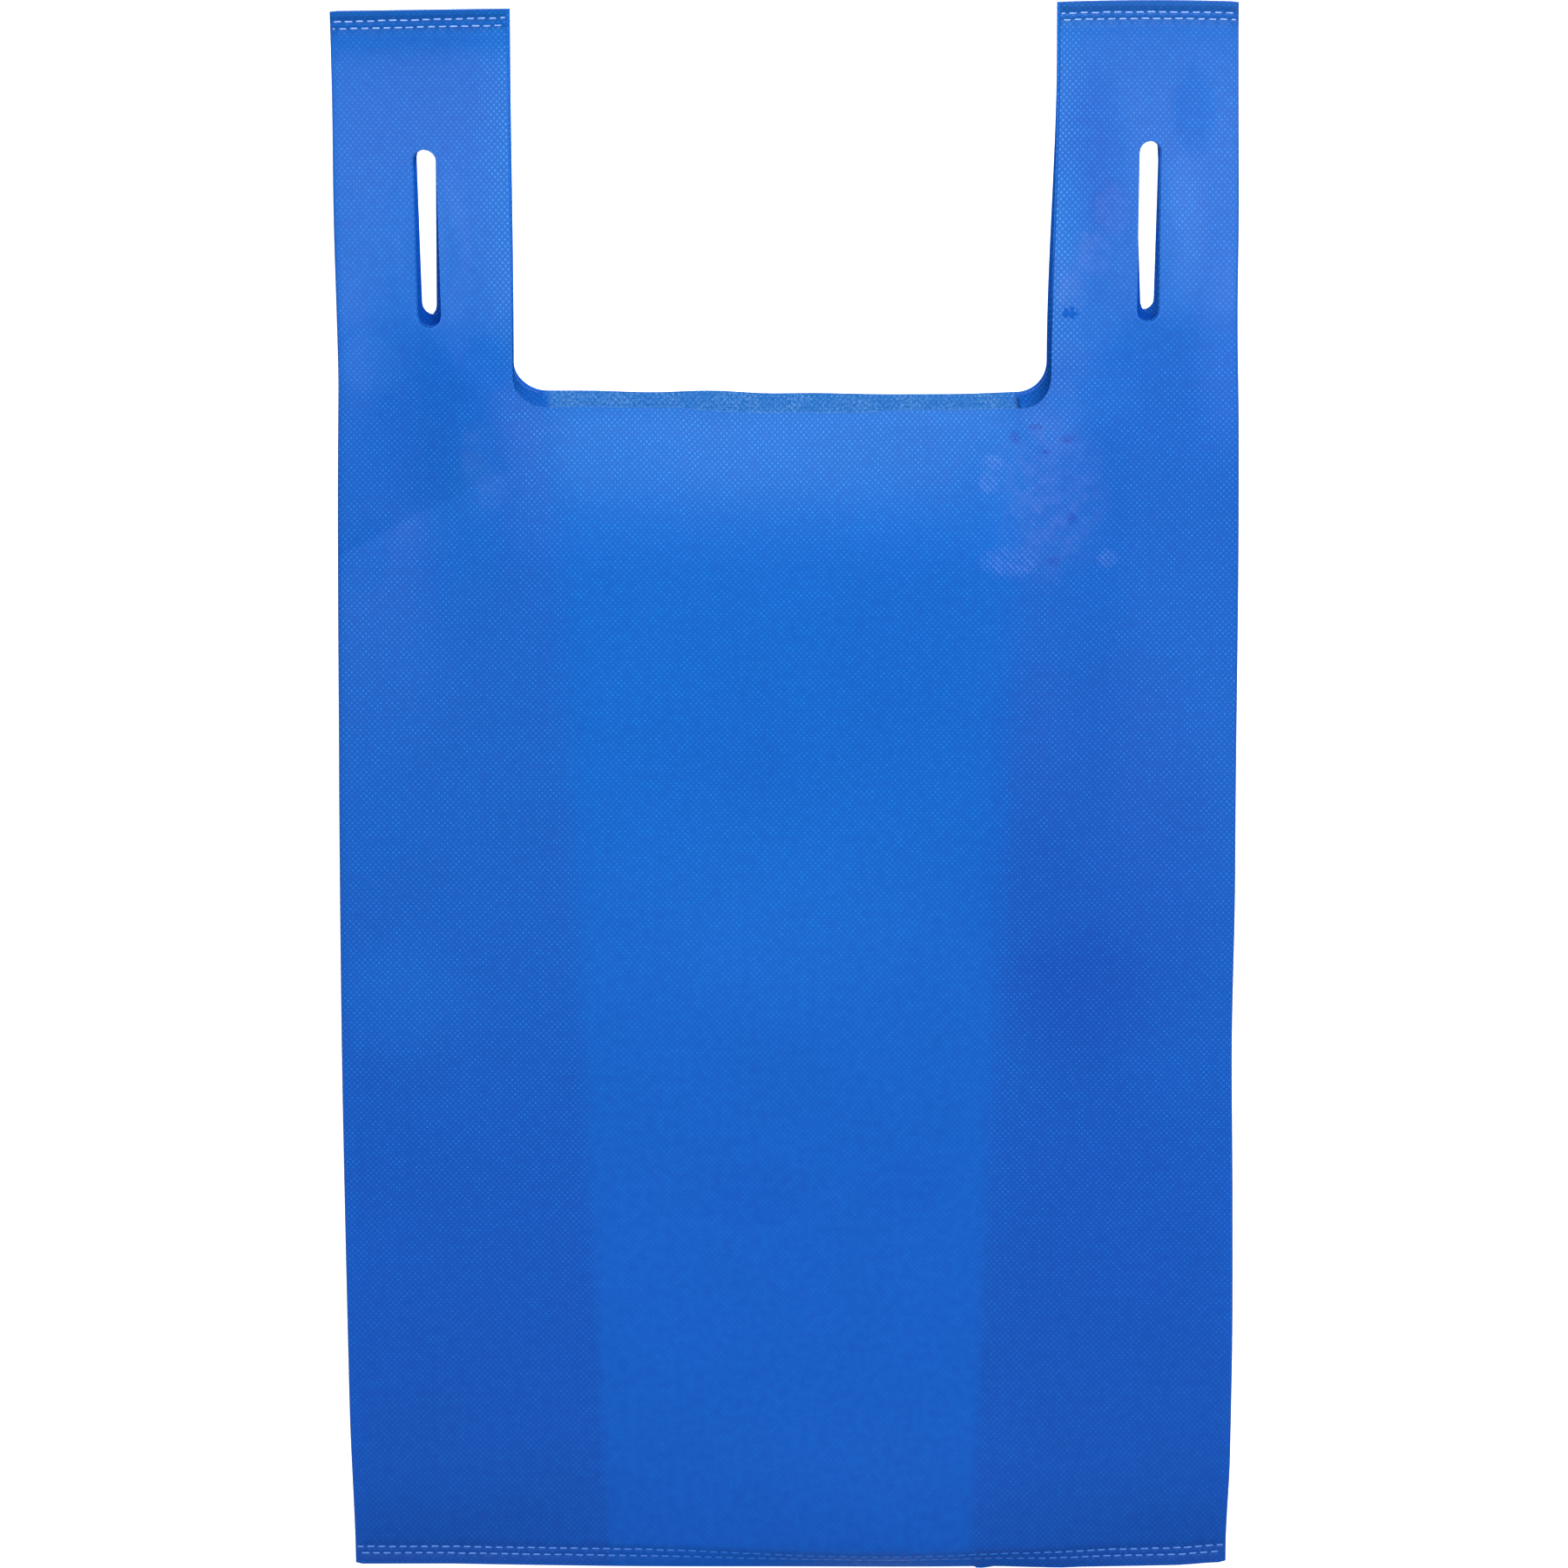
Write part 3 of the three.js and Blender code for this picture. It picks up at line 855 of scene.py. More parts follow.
def bag_mesh():
    """The web folded into the bag, with the thickness of the cloth."""
    points, faces, pressed, weld, slope = cut_web()
    count = len(points)
    middle = place(points[:, 0], points[:, 1])
    normal = outward(points[:, 0], points[:, 1])
    outer = middle + normal * (SHEET / 2 - pressed)[:, None]
    inner = middle - normal * SHEET / 2
    vertices = np.concatenate([outer, inner]) * MM
    shared = seam_partners(points)[faces]
    rim, rim_flat = open_sides(faces, shared)

    # the outer faces, the inner ones, and two triangles for each side of the cut edges
    all_faces = np.concatenate([
        shared,
        shared[:, ::-1] + count,
        np.stack([rim[:, 1], rim[:, 0], rim[:, 0] + count], axis=1),
        np.stack([rim[:, 1], rim[:, 0] + count, rim[:, 1] + count], axis=1),
    ])
    flat_corner = np.concatenate([
        faces, faces[:, ::-1], rim_flat[:, [1, 0, 0]], rim_flat[:, [1, 0, 1]],
    ]).ravel()
    on_inside = np.repeat([False, True, False], [len(faces) * 3, len(faces) * 3, len(rim) * 6])
    on_rim = [np.tile(second, len(rim)) for second in ([False, False, True], [False, True, True])]
    in_rim = np.concatenate([np.zeros(len(faces) * 6, bool), *on_rim])
    materials = np.concatenate([
        np.where(weld, WELD, np.where(slope, SLOPE, OUTSIDE)),
        np.full(len(faces), INSIDE),
        np.full(2 * len(rim), EDGE),
    ])

    used = np.unique(all_faces)
    renumber = np.full(2 * count, -1)
    renumber[used] = np.arange(len(used))
    mesh = bpy.data.meshes.new("bag_cloth")
    mesh.from_pydata(vertices[used].tolist(), [], renumber[all_faces].tolist())
    mesh.polygons.foreach_set("material_index", materials.astype(np.int32))
    mesh.polygons.foreach_set("use_smooth", np.ones(len(all_faces), bool))
    outside, lining = chart(points, OUTSIDE_CHART), chart(points, INSIDE_CHART)
    bake = np.where(on_inside[:, None], lining[flat_corner], outside[flat_corner])
    bake[in_rim] += [0.0, RIM_IN_CHART]
    add_coordinates(mesh, "OFBake", bake)
    add_coordinates(mesh, "cloth", cloth_coordinates(points)[flat_corner])
    keep_crisp(mesh, renumber[np.concatenate([rim, rim + count])])
    mesh.update()
    mesh.validate()
    return mesh


# Materials

class Graph:
    """A material's nodes, with short ways to make the common ones."""

    def __init__(self, name):
        self.material = bpy.data.materials.new(name)
        self.material.use_nodes = True
        self.tree = self.material.node_tree
        self.shader = self.tree.nodes["Principled BSDF"]

    def add(self, kind, **settings):
        node = self.tree.nodes.new(kind)
        for key, value in settings.items():
            setattr(node, key, value)
        return node

    def feed(self, socket, value):
        """Links a socket to another one, or sets its value."""
        if isinstance(value, bpy.types.NodeSocket):
            self.tree.links.new(value, socket)
        else:
            socket.default_value = value

    def set(self, name, value):
        """Feeds one of the shader's own sockets."""
        self.feed(self.shader.inputs[name], value)

    def calc(self, operation, *values):
        node = self.add("ShaderNodeMath", operation=operation)
        for socket, value in zip(node.inputs, values):
            self.feed(socket, value)
        return node.outputs[0]

    def chain(self, operation, values):
        """One operation on several values, from the first to the last."""
        total = values[0]
        for value in values[1:]:
            total = self.calc(operation, total, value)
        return total

    def plus(self, *values):
        return self.chain("ADD", values)

    def times(self, *values):
        return self.chain("MULTIPLY", values)

    def most(self, *values):
        return self.chain("MAXIMUM", values)

    def minus(self, a, b):
        return self.calc("SUBTRACT", a, b)

    def off(self, value, middle):
        """How far a value is from a middle."""
        return self.calc("ABSOLUTE", self.minus(value, middle))

    def ramp(self, value, low, high, to_low=0.0, to_high=1.0):
        """A smooth step of value from to_low to to_high."""
        node = self.add("ShaderNodeMapRange", interpolation_type="SMOOTHSTEP")
        for socket, given in zip(node.inputs, (value, low, high, to_low, to_high)):
            self.feed(socket, given)
        return node.outputs[0]

    def fade(self, share, none, full):
        """A smooth step from none where a share is 0 to full where it is 1."""
        return self.ramp(share, 0.0, 1.0, none, full)

    def mix(self, share, a, b, blend="MIX"):
        node = self.add("ShaderNodeMix", data_type="RGBA", blend_type=blend)
        self.feed(node.inputs[0], share)
        self.feed(node.inputs[6], a)
        self.feed(node.inputs[7], b)
        return node.outputs[2]

    def toned(self, colour, *parts):
        """A colour with its red, green and blue made lighter or darker."""
        shade = self.add("ShaderNodeCombineColor")
        for socket, value in zip(shade.inputs, parts):
            self.feed(socket, value)
        return self.mix(1.0, colour, shade.outputs[0], "MULTIPLY")

    def bump(self, height, distance, normal=None):
        node = self.add("ShaderNodeBump")
        self.feed(node.inputs["Height"], height)
        node.inputs["Distance"].default_value = distance
        node.inputs["Strength"].default_value = 1.0
        if normal is not None:
            self.feed(node.inputs["Normal"], normal)
        return node.outputs["Normal"]


class ClothGraph(Graph):
    """The nodes of a material that knows the web's coordinates in millimetres: the vector, s, u and v."""

    def __init__(self, name):
        super().__init__(name)
        node = self.add("ShaderNodeUVMap", uv_map="cloth")
        parts = self.add("ShaderNodeSeparateXYZ")
        self.vector = node.outputs[0]
        self.feed(parts.inputs[0], self.vector)
        self.s, self.v = parts.outputs[0], parts.outputs[1]
        self.u = self.calc("ABSOLUTE", self.s)

    def noise(self, scale, detail, roughness, vector=None):
        node = self.add("ShaderNodeTexNoise")
        self.feed(node.inputs["Vector"], vector or self.vector)
        node.inputs["Scale"].default_value = scale
        node.inputs["Detail"].default_value = detail
        node.inputs["Roughness"].default_value = roughness
        return node.outputs["Fac"]

    def patch(self, centre, radii):
        """A soft round patch on the front: 1 in its middle, 0 from its radii on."""
        x = self.calc("DIVIDE", self.minus(self.s, centre[0]), radii[0])
        y = self.calc("DIVIDE", self.minus(self.v, centre[1]), radii[1])
        return self.ramp(self.plus(self.times(x, x), self.times(y, y)), 0.0, 1.0, 1.0, 0.0)

    def any_patch(self, places):
        """Several soft round patches in one."""
        return self.most(*(self.patch(centre, radii) for centre, radii in places))


# Colours
# FLEECE_TWO_LAYERS is lighter than FLEECE_FOUR_LAYERS by painted light, as if the floor's light showed through
# fewer layers
FLEECE_TWO_LAYERS = (0.0066, 0.146, 0.594, 1)
FLEECE_FOUR_LAYERS = (0.0066, 0.1275, 0.548, 1)
# The worn colour is partly paler worn fibres and partly painted sheen
WORN_AND_SHEEN_COLOUR = (0.12, 0.21, 0.66, 1)
SCRATCH = (0.17, 0.30, 0.86, 1)
SPECK = (0.016, 0.055, 0.41, 1)
SPOT = (0.001, 0.085, 0.46, 1)
SINGLE_LAYER = (0.020, 0.170, 0.52, 1)
SINGLE_PALE = (0.105, 0.29, 0.64, 1)
WELD_DULL = (0.042, 0.19, 0.72, 1)
WELD_PALE = (0.34, 0.53, 0.98, 1)
WELD_SLOPE_SHADE = (0.005, 0.085, 0.42, 1)
EDGE_DARK = (0.006, 0.07, 0.36, 1)
EDGE_LIGHT = (0.02, 0.13, 0.5, 1)

# Noises: their scale, detail and roughness
FIBRES = (2.2, 3.0, 0.6)
MOTTLE = (0.3, 3.0, 0.6)
CLOUDS = (0.03, 3.0, 0.55)
CLEARNESS = (0.3, 4.0, 0.75)
DOT_DRIFT = (0.07, 1.0, 0.5)
STROKE_BREAKS = (0.9, 2.0, 0.6)
RAGGED = (0.16, 4.0, 0.65)
FLECK_GRAIN = (1.3, 3.0, 0.7)
SPOT_EDGE = (0.7, 3.0, 0.5)
INSIDE_FLECKS = (0.9, 4.0, 0.65)
INSIDE_CLOUDS = (0.12, 2.0, 0.5)
INSIDE_CLEARNESS = (0.35, 4.0, 0.75)
INSIDE_GRAIN = (1.1, 2.0, 0.6)
WELD_GRAIN = (1.2, 2.0, 0.5)
EDGE_FIBRES = (2.0, 2.0, 0.5)

# Below, a group of four numbers is a ramp: where it starts and ends, and its values before and after.

# The bonded dots: their spacing, how far their rows wander, the share of the cloth that they take, and how much
# more red, green and blue a dot shows than the ground
DOT_PITCH = 1.97
DOT_ROWS = 2.15
DOT_WANDER = (0.5, 0.35)
DOT_EDGE = 0.8
DOT_SHARE = 0.239
DOT_TINT = (1.2, 0.54, 0.27)
CLEAR_RANGE = (0.3, 0.7, 0.15, 1.55)
CLEAR_TWO_LAYERS = (60.0, 320.0, 0.15, 0.7)
CLEAR_FOUR_LAYERS = (20.0, 180.0, 0.45, 0.9)
CLEAR_HANDLES = (420.0, 470.0, 1.0, 0.42)
CLEAR_INNER_EDGE = 0.5


def bonded_dots(g):
    """The staggered dots that the calender roll presses in: 1 in a dot, 0 between."""
    drift = g.noise(*DOT_DRIFT)
    s = g.plus(g.s, g.times(drift, DOT_WANDER[0]))
    v = g.plus(g.v, g.times(drift, DOT_WANDER[1]))
    across = g.calc("COSINE", g.times(s, 2 * math.pi / DOT_PITCH))
    along = g.calc("COSINE", g.times(v, 2 * math.pi / DOT_ROWS))
    return g.ramp(g.times(across, along), 0.0, DOT_EDGE)


def dot_tints(g, pattern):
    """How the pattern of dots changes red, green and blue."""
    return [g.plus(1.0, g.times(pattern, more)) for more in DOT_TINT]


# Strokes along the slanting lines of dots
STROKE_STRETCH = 0.3
STROKE_BREAK_RANGE = (0.38, 0.66)
STROKE_EDGE = (-0.4, 1.0)


def hatch(g):
    """Strokes along one slanting line of dots, each of its own strength and broken in its own places."""
    across = g.times(g.s, 1 / DOT_PITCH)
    along = g.times(g.v, 1 / DOT_ROWS)
    line = g.plus(across, along)
    wave = g.calc("COSINE", g.times(line, 2 * math.pi))
    way = g.add("ShaderNodeCombineXYZ")
    g.feed(way.inputs[0], line)
    g.feed(way.inputs[1], g.times(g.minus(across, along), STROKE_STRETCH))
    strength = g.ramp(g.noise(*STROKE_BREAKS, way.outputs[0]), *STROKE_BREAK_RANGE)
    return g.times(g.ramp(wave, *STROKE_EDGE), strength)


# The line where two layers become four, softer towards the mouth. The lighter colour of two layers is painted
# light, as if the floor's light showed through fewer layers
LAYER_LINE_SHIFT = 2.5
LAYER_LINE_SOFTNESS = (0.0, MOUTH_AT, 2.5, 11.0)


def layer_share(g):
    """0 where two layers lie over each other, 1 where the folded gusset makes them four."""
    taper = (GUSSET_DEPTH - GUSSET_AT_MOUTH) / MOUTH_AT
    from_fold = g.minus(g.u, g.times(g.v, taper))
    from_fold = g.minus(from_fold, HALF_WIDTH - GUSSET_DEPTH - LAYER_LINE_SHIFT)
    return g.ramp(g.calc("DIVIDE", from_fold, g.ramp(g.v, *LAYER_LINE_SOFTNESS)), -1.0, 1.0)


# Lighter and darker places of the front, partly the web's uneven weight and partly painted light and shade,
# most of them
# by the shoulders and the handles: their middles, their radii and how much lighter they look
THICK_AND_LIGHT_PATCHES = (
    ((106, 262), (54, 100), -0.13),
    ((100, 212), (30, 32), -0.08),
    ((104, 160), (40, 34), -0.04),
    ((42, 142), (22, 14), -0.05),
    ((52, 330), (50, 60), -0.05),
    ((-8, 240), (62, 48), 0.03),
    ((-134, 212), (30, 28), 0.07),
    ((-110, 388), (15, 46), 0.08),
    ((-131, 380), (10, 50), -0.03),
    ((56, 402), (26, 20), -0.06),
    ((-14, 303), (36, 28), -0.04),
    ((-12, 138), (26, 16), -0.05),
    ((136, 520), (9, 22), -0.05),
    ((135, 480), (8, 40), 0.08),
    ((-116, 480), (7, 36), 0.03),
    ((-124, 526), (34, 34), -0.05),
    ((-124, 470), (34, 28), 0.03),
    ((112, 120), (44, 60), -0.04),
    ((103, 506), (14, 40), -0.12),
    ((93, 421), (13, 14), 0.09),
    ((99, 488), (8, 20), 0.1),
    ((108, 449), (17, 11), 0.06),
    ((110, 428), (17, 13), 0.08),
    ((-143, 440), (15, 15), 0.09),
    ((112, 490), (9, 12), -0.1),
    ((-107, 394), (12, 14), 0.05),
    ((-124, 383), (14, 11), 0.04),
)

# Duller and glossier places of the front: their middles, their radii and the share of the sheen they show
SHEEN_PATCHES = (
    ((106, 500), (17, 50), 0.72),
    ((139, 522), (10, 20), 0.7),
    ((-111, 436), (22, 24), 0.75),
    ((80, 396), (30, 26), 0.8),
    ((94, 422), (14, 16), 1.4),
    ((110, 455), (18, 14), 0.9),
    ((110, 428), (17, 13), 1.2),
    ((-143, 440), (15, 15), 1.4),
    ((-103, 440), (12, 14), 0.6),
    ((-107, 393), (12, 16), 1.35),
    ((-123, 380), (15, 14), 1.25),
    ((-146, 370), (13, 18), 0.75),
    ((-131, 480), (8, 36), 0.8),
    ((-114, 480), (8, 34), 1.25),
    ((137, 485), (9, 34), 1.2),
)

# Marks of use: middles and radii, and how strong a worn place is between its strokes and on them. The worn
# colour is partly wear and partly painted sheen, and the patches by the left crease are painted sheen
SCUFFS = (
    ((71, 404), (5.5, 3.5)),
    ((69.5, 397), (4.5, 5.5)),
    ((76, 369), (12, 7)),
    ((109.5, 369.5), (4.5, 4.5)),
)
FLECKS = (
    ((79.7, 412.8), (2.6, 3.2)),
    ((87.2, 416.8), (3.4, 1.5)),
    ((97.9, 412.6), (4.0, 2.0)),
    ((89.4, 408.1), (1.9, 1.1)),
    ((97.5, 384.7), (2.2, 3.0)),
    ((91.2, 369.3), (3.0, 2.2)),
)
WORN_LEFT_SHEEN = (
    ((-107.5, 407), (7, 14)),
    ((-103, 396), (9, 10)),
)
WORN_HANDLE = (
    ((112, 489), (7, 11)),
    ((106, 476), (8, 11)),
    ((100, 463), (6.5, 10)),
)
WORN_SHOULDER = (
    ((90, 392), (24, 36)),
)
WORN_AND_SHEEN_PLACES = ((WORN_SHOULDER, (0.15, 0.36)), (WORN_HANDLE, (0.15, 0.3)), (WORN_LEFT_SHEEN, (0.08, 0.16)))
RAGGED_RANGE = (0.35, 0.66)
WORN_RAGGED = (0.3, 1.05)
SCUFF_STROKES = 0.42
SCUFF_DOTS = 0.3
SCUFF_GROUND = 0.03
SCUFF_RAGGED = (0.6, 1.0)
FLECK_RANGE = (0.43, 0.54)
FLECK_STRENGTH = 1.15
FLECK_STROKES = (0.0, 0.5, 0.5, 1.0)
SPOT_AT = (99.6, 455.8)
SPOT_RADII = (3.3, 2.5)
SPOT_EDGE_RANGE = (0.3, 0.7, -0.5, 0.5)
SPOT_RANGE = (0.25, 0.7)
SPOT_REACH = (0.0, 0.2)
SPOT_STRENGTH = 0.75


def thickness(g):
    """The web is uneven: it looks a little darker where it is thicker. Some of these patches are painted light
    and shade.
    """
    return g.plus(*(g.times(g.patch(centre, radii), change) for centre, radii, change in THICK_AND_LIGHT_PATCHES))


def spot(g):
    """A dark spot with a ragged edge at the right handle's root."""
    edge = g.ramp(g.noise(*SPOT_EDGE), *SPOT_EDGE_RANGE)
    near = g.patch(SPOT_AT, SPOT_RADII)
    return g.times(g.ramp(g.plus(near, edge), *SPOT_RANGE), g.ramp(near, *SPOT_REACH))


def wear_and_sheen(g, colour, dots, mark):
    """The marks of use, most of them by the right shoulder: worn places, partly painted sheen, scratches,
    specks and one spot.
    """
    strokes = hatch(g)
    ragged = g.ramp(g.noise(*RAGGED), *RAGGED_RANGE)
    worn = g.most(*(g.times(g.any_patch(places), g.fade(strokes, *shares)) for places, shares in WORN_AND_SHEEN_PLACES))
    colour = g.mix(g.times(worn, g.fade(ragged, *WORN_RAGGED)), colour, WORN_AND_SHEEN_COLOUR)
    scraped = g.plus(g.most(g.times(strokes, SCUFF_STROKES), g.times(dots, SCUFF_DOTS)), SCUFF_GROUND)
    scuffs = g.times(g.any_patch(SCUFFS), scraped, g.fade(ragged, *SCUFF_RAGGED))
    colour = g.mix(scuffs, colour, SCRATCH)
    grain = g.ramp(g.noise(*FLECK_GRAIN), *FLECK_RANGE)
    flecks = g.times(g.any_patch(FLECKS), grain, FLECK_STRENGTH, g.ramp(strokes, *FLECK_STROKES))
    colour = g.mix(flecks, colour, SPECK)
    return g.mix(g.times(mark, SPOT_STRENGTH), colour, SPOT)


# Fine lines on the front, painted light and shade: the weld rows' distances from the handle tops, the pale
# highlights on the rims of the slots' lower ends, and the left shoulder's crease
WELD_LINES = (2.35, 3.6, 5.95)
WELD_LINE_SHADE = (0.3, 1.0, 0.14, 0.0)
RIM_SHIFT = 0.1
RIM_SOFTNESS = (0.1, 0.45, 1.0, 0.0)
RIM_END = (-1.5, 1.5, 1.0, 0.0)
RIM_HIGHLIGHT = 0.3
CREASE_BELOW = (-13.0, -1.0)
CREASE_ABOVE = (1.0, 14.0)
CREASE_SOFTNESS = (-0.9, 0.9)
CREASE_LIGHT = (-140.0, -120.0, 0.005, 0.02)
CREASE_DARK = (-140.0, -120.0, -0.035, -0.015)
CREASE_END = (-100.0, -86.0, 1.0, 0.0)
CREASE_START = 2.0
CREASE_SHEEN = 3.0


def weld_row_shadows(g):
    """The cloth is drawn in along the weld rows of the handles, and painted shade makes it darker between the
    dashes.
    """
    return g.plus(*(g.ramp(g.off(g.v, BAG_LENGTH - from_top), *WELD_LINE_SHADE) for from_top in WELD_LINES))


def slot_rim_highlights(g):
    """A painted highlight: a pale line round the slots' lower ends, where the front's cut edge catches the
    light.
    """
    rims = []
    for hand, side in enumerate((-1, 1)):
        radius = SLOT_WIDTH[hand] / 2
        x = side * HANDLE_MIDDLE + SLOT_SHIFT[hand] + FRONT_SLOT_SLIP[hand][1]
        across = g.minus(g.s, x)
        along = g.minus(g.v, BAG_LENGTH - SLOT_FROM_TOP - SLOT_LENGTH[hand] + radius)
        far = g.calc("SQRT", g.plus(g.times(across, across), g.times(along, along)))
        rims.append(g.times(g.ramp(g.off(far, radius + RIM_SHIFT), *RIM_SOFTNESS), g.ramp(along, *RIM_END)))
    return g.most(*rims)


def crease_shade(g):
    """The left shoulder's crease: the cloth is paler just below it and darker just above."""
    (x0, v0), (x1, v1) = CREASE_FROM, CREASE_TO
    length = math.hypot(x1 - x0, v1 - v0)
    up = g.times(g.minus(g.v, v0), (x1 - x0) / length)
    off = g.minus(up, g.times(g.minus(g.s, x0), (v1 - v0) / length))
    below = g.ramp(off, *CREASE_BELOW, 0.0, g.ramp(g.s, *CREASE_LIGHT))
    above = g.ramp(off, *CREASE_ABOVE, g.ramp(g.s, *CREASE_DARK), 0.0)
    shade = g.ramp(off, *CREASE_SOFTNESS, below, above)
    return g.times(shade, g.ramp(g.s, *CREASE_END), g.ramp(g.s, x0 - CREASE_START, x0))


# Zones of the front, each a share from 0 to 1
ZONE_SOFTNESS = 4.0
LIP_ALONG = (372.0, 408.0)
LIP_ACROSS = (70.0, 98.0, 1.0, 0.0)
INNER_EDGE_ALONG = (428.0, 450.0)
INNER_EDGE_WIDTH = 14.0
BY_MOUTH = (460.0, 495.0, 1.0, 0.0)
TOP_HEM_FROM = (-60.0, 60.0, BAG_LENGTH - 22.0, BAG_LENGTH - 13.0)
TOP_HEM_SOFTNESS = 14.0
LOW_HEM = (6.5, 9.5, 1.0, 0.0)
HEM_ENDS_MIDDLE = 20.0
HEM_ENDS = (50.0, 130.0)
SHUT_IN_SOFTNESS = 5.0
ROOT_EDGE = (HALF_WIDTH - 22.0, HALF_WIDTH - 3.0)
ROOT_EDGE_FROM = (385.0, 440.0)
ROOT_EDGE_TO = (445.0, 490.0, 1.0, 0.0)
# Painted shade along the outer folds: the cloth is darker and less glossy there
FOLD_LINE_AT = HALF_WIDTH + 0.3
FOLD_LINE_SHADE = (0.6, 1.6, 0.55, 1.0)


def front_zones(g):
    """The places that the tone, the hue, the dots and the sheen depend on."""
    z = SimpleNamespace()
    z.layers = layer_share(g)
    z.on_front = g.ramp(g.u, HALF_WIDTH, HALF_WIDTH + ZONE_SOFTNESS, 1.0, 0.0)
    z.lip = g.times(g.ramp(g.v, *LIP_ALONG), g.ramp(g.u, *LIP_ACROSS), z.on_front)
    inward = g.ramp(g.u, HANDLE_EDGE, HANDLE_EDGE + INNER_EDGE_WIDTH, 1.0, 0.0)
    z.inner_edge = g.times(g.ramp(g.v, *INNER_EDGE_ALONG), inward, z.on_front)
    z.top_hem = g.ramp(g.minus(g.v, g.ramp(g.s, *TOP_HEM_FROM)), 0.0, TOP_HEM_SOFTNESS)
    z.low_hem = g.ramp(g.v, *LOW_HEM)
    z.hem_ends = g.times(z.low_hem, g.ramp(g.off(g.s, HEM_ENDS_MIDDLE), *HEM_ENDS))
    past_fold = g.ramp(g.u, INNER_FOLD, INNER_FOLD + ZONE_SOFTNESS)
    z.folded_in = g.times(past_fold, g.ramp(g.u, BACK_FOLD - ZONE_SOFTNESS, BACK_FOLD, 1.0, 0.0))
    # Where painted shade falls on the lower gusset layer, as seen through the slots and at the mouth's corners
    cut_at = BACK_FOLD - HANDLE_WIDTH
    z.shut_in = g.times(z.folded_in, g.ramp(g.u, cut_at, cut_at + SHUT_IN_SOFTNESS))
    by_root = g.times(g.ramp(g.u, *ROOT_EDGE), z.on_front)
    z.by_root = g.times(by_root, g.ramp(g.v, *ROOT_EDGE_FROM), g.ramp(g.v, *ROOT_EDGE_TO))
    z.on_fold = g.ramp(g.off(g.u, FOLD_LINE_AT), *FOLD_LINE_SHADE)
    return z


def dot_pattern(g, z, dots):
    """The dots are pressed to a pale film. How clearly it shows changes over the front: least low in the
    middle, more up the bag and at the sides, less again on the handles, and more along the handles' inner
    edges.
    """
    tight = g.times(g.ramp(g.v, *CLEAR_FOUR_LAYERS), g.ramp(g.v, *CLEAR_HANDLES))
    clear = g.fade(z.layers, g.ramp(g.v, *CLEAR_TWO_LAYERS), tight)
    clear = g.times(clear, g.ramp(g.noise(*CLEARNESS), *CLEAR_RANGE))
    clear = g.plus(clear, g.times(z.inner_edge, CLEAR_INNER_EDGE))
    return g.times(g.minus(dots, DOT_SHARE), clear)


# Tone of the front: how light it is. Apart from random tones and a little darkening along the handles' top
# hems, it holds painted shade in the corners, low on the bag, in the gussets, on the handles, on the bottom
# hem, along the weld rows, the crease and the outer folds, and painted highlights along the sides, at the
# handles' roots and inner edges and on the slots' lower rims
CLOUD_TONE = (0.3, 0.7, 0.98, 1.02)
FIBRE_TONE = (0.25, 0.75, -0.06, 0.06)
MOTTLE_TONE = (0.25, 0.75, -0.04, 0.04)
THICK_AND_LIGHT_TONE = 0.45
CORNER_SHADE = (0.0, 150.0, 0.09, 0.0)
MIDDLE_SHADE = (20.0, 90.0, 0.06, 0.0)
LOW_SHADE = (2.0, 42.0)
LOW_SHADE_MIDDLE = 8.0
LOW_SHADE_ACROSS = (40.0, 130.0, 0.04, 0.15)
SHUT_IN_SHADE = (430.0, 450.0, 0.64, 0.75)
TOP_HEM_TONE = 0.97
# Painted shade in two narrow bands across the handle tops, beside the weld rows
TOP_STRIP_SHADES = (
    (BAG_LENGTH - 9.0, BAG_LENGTH - 7.0, 0.0, 0.1),
    (BAG_LENGTH - 4.0, BAG_LENGTH - 2.0, 0.0, 0.1),
)
HANDLE_SHADE = (425.0, 470.0, 1.0, 0.98)
LOW_HEM_SHADE = (0.80, 0.92)
# Painted highlights: along the outer edges low on the bag, at the handles' roots and along their inner edges
SIDE_HIGHLIGHT_ACROSS = (HALF_WIDTH - 7.0, HALF_WIDTH)
SIDE_HIGHLIGHT_ALONG = (130.0, 230.0, 0.06, 0.0)
ROOT_HIGHLIGHT = 0.1
INNER_EDGE_HIGHLIGHT = 0.04


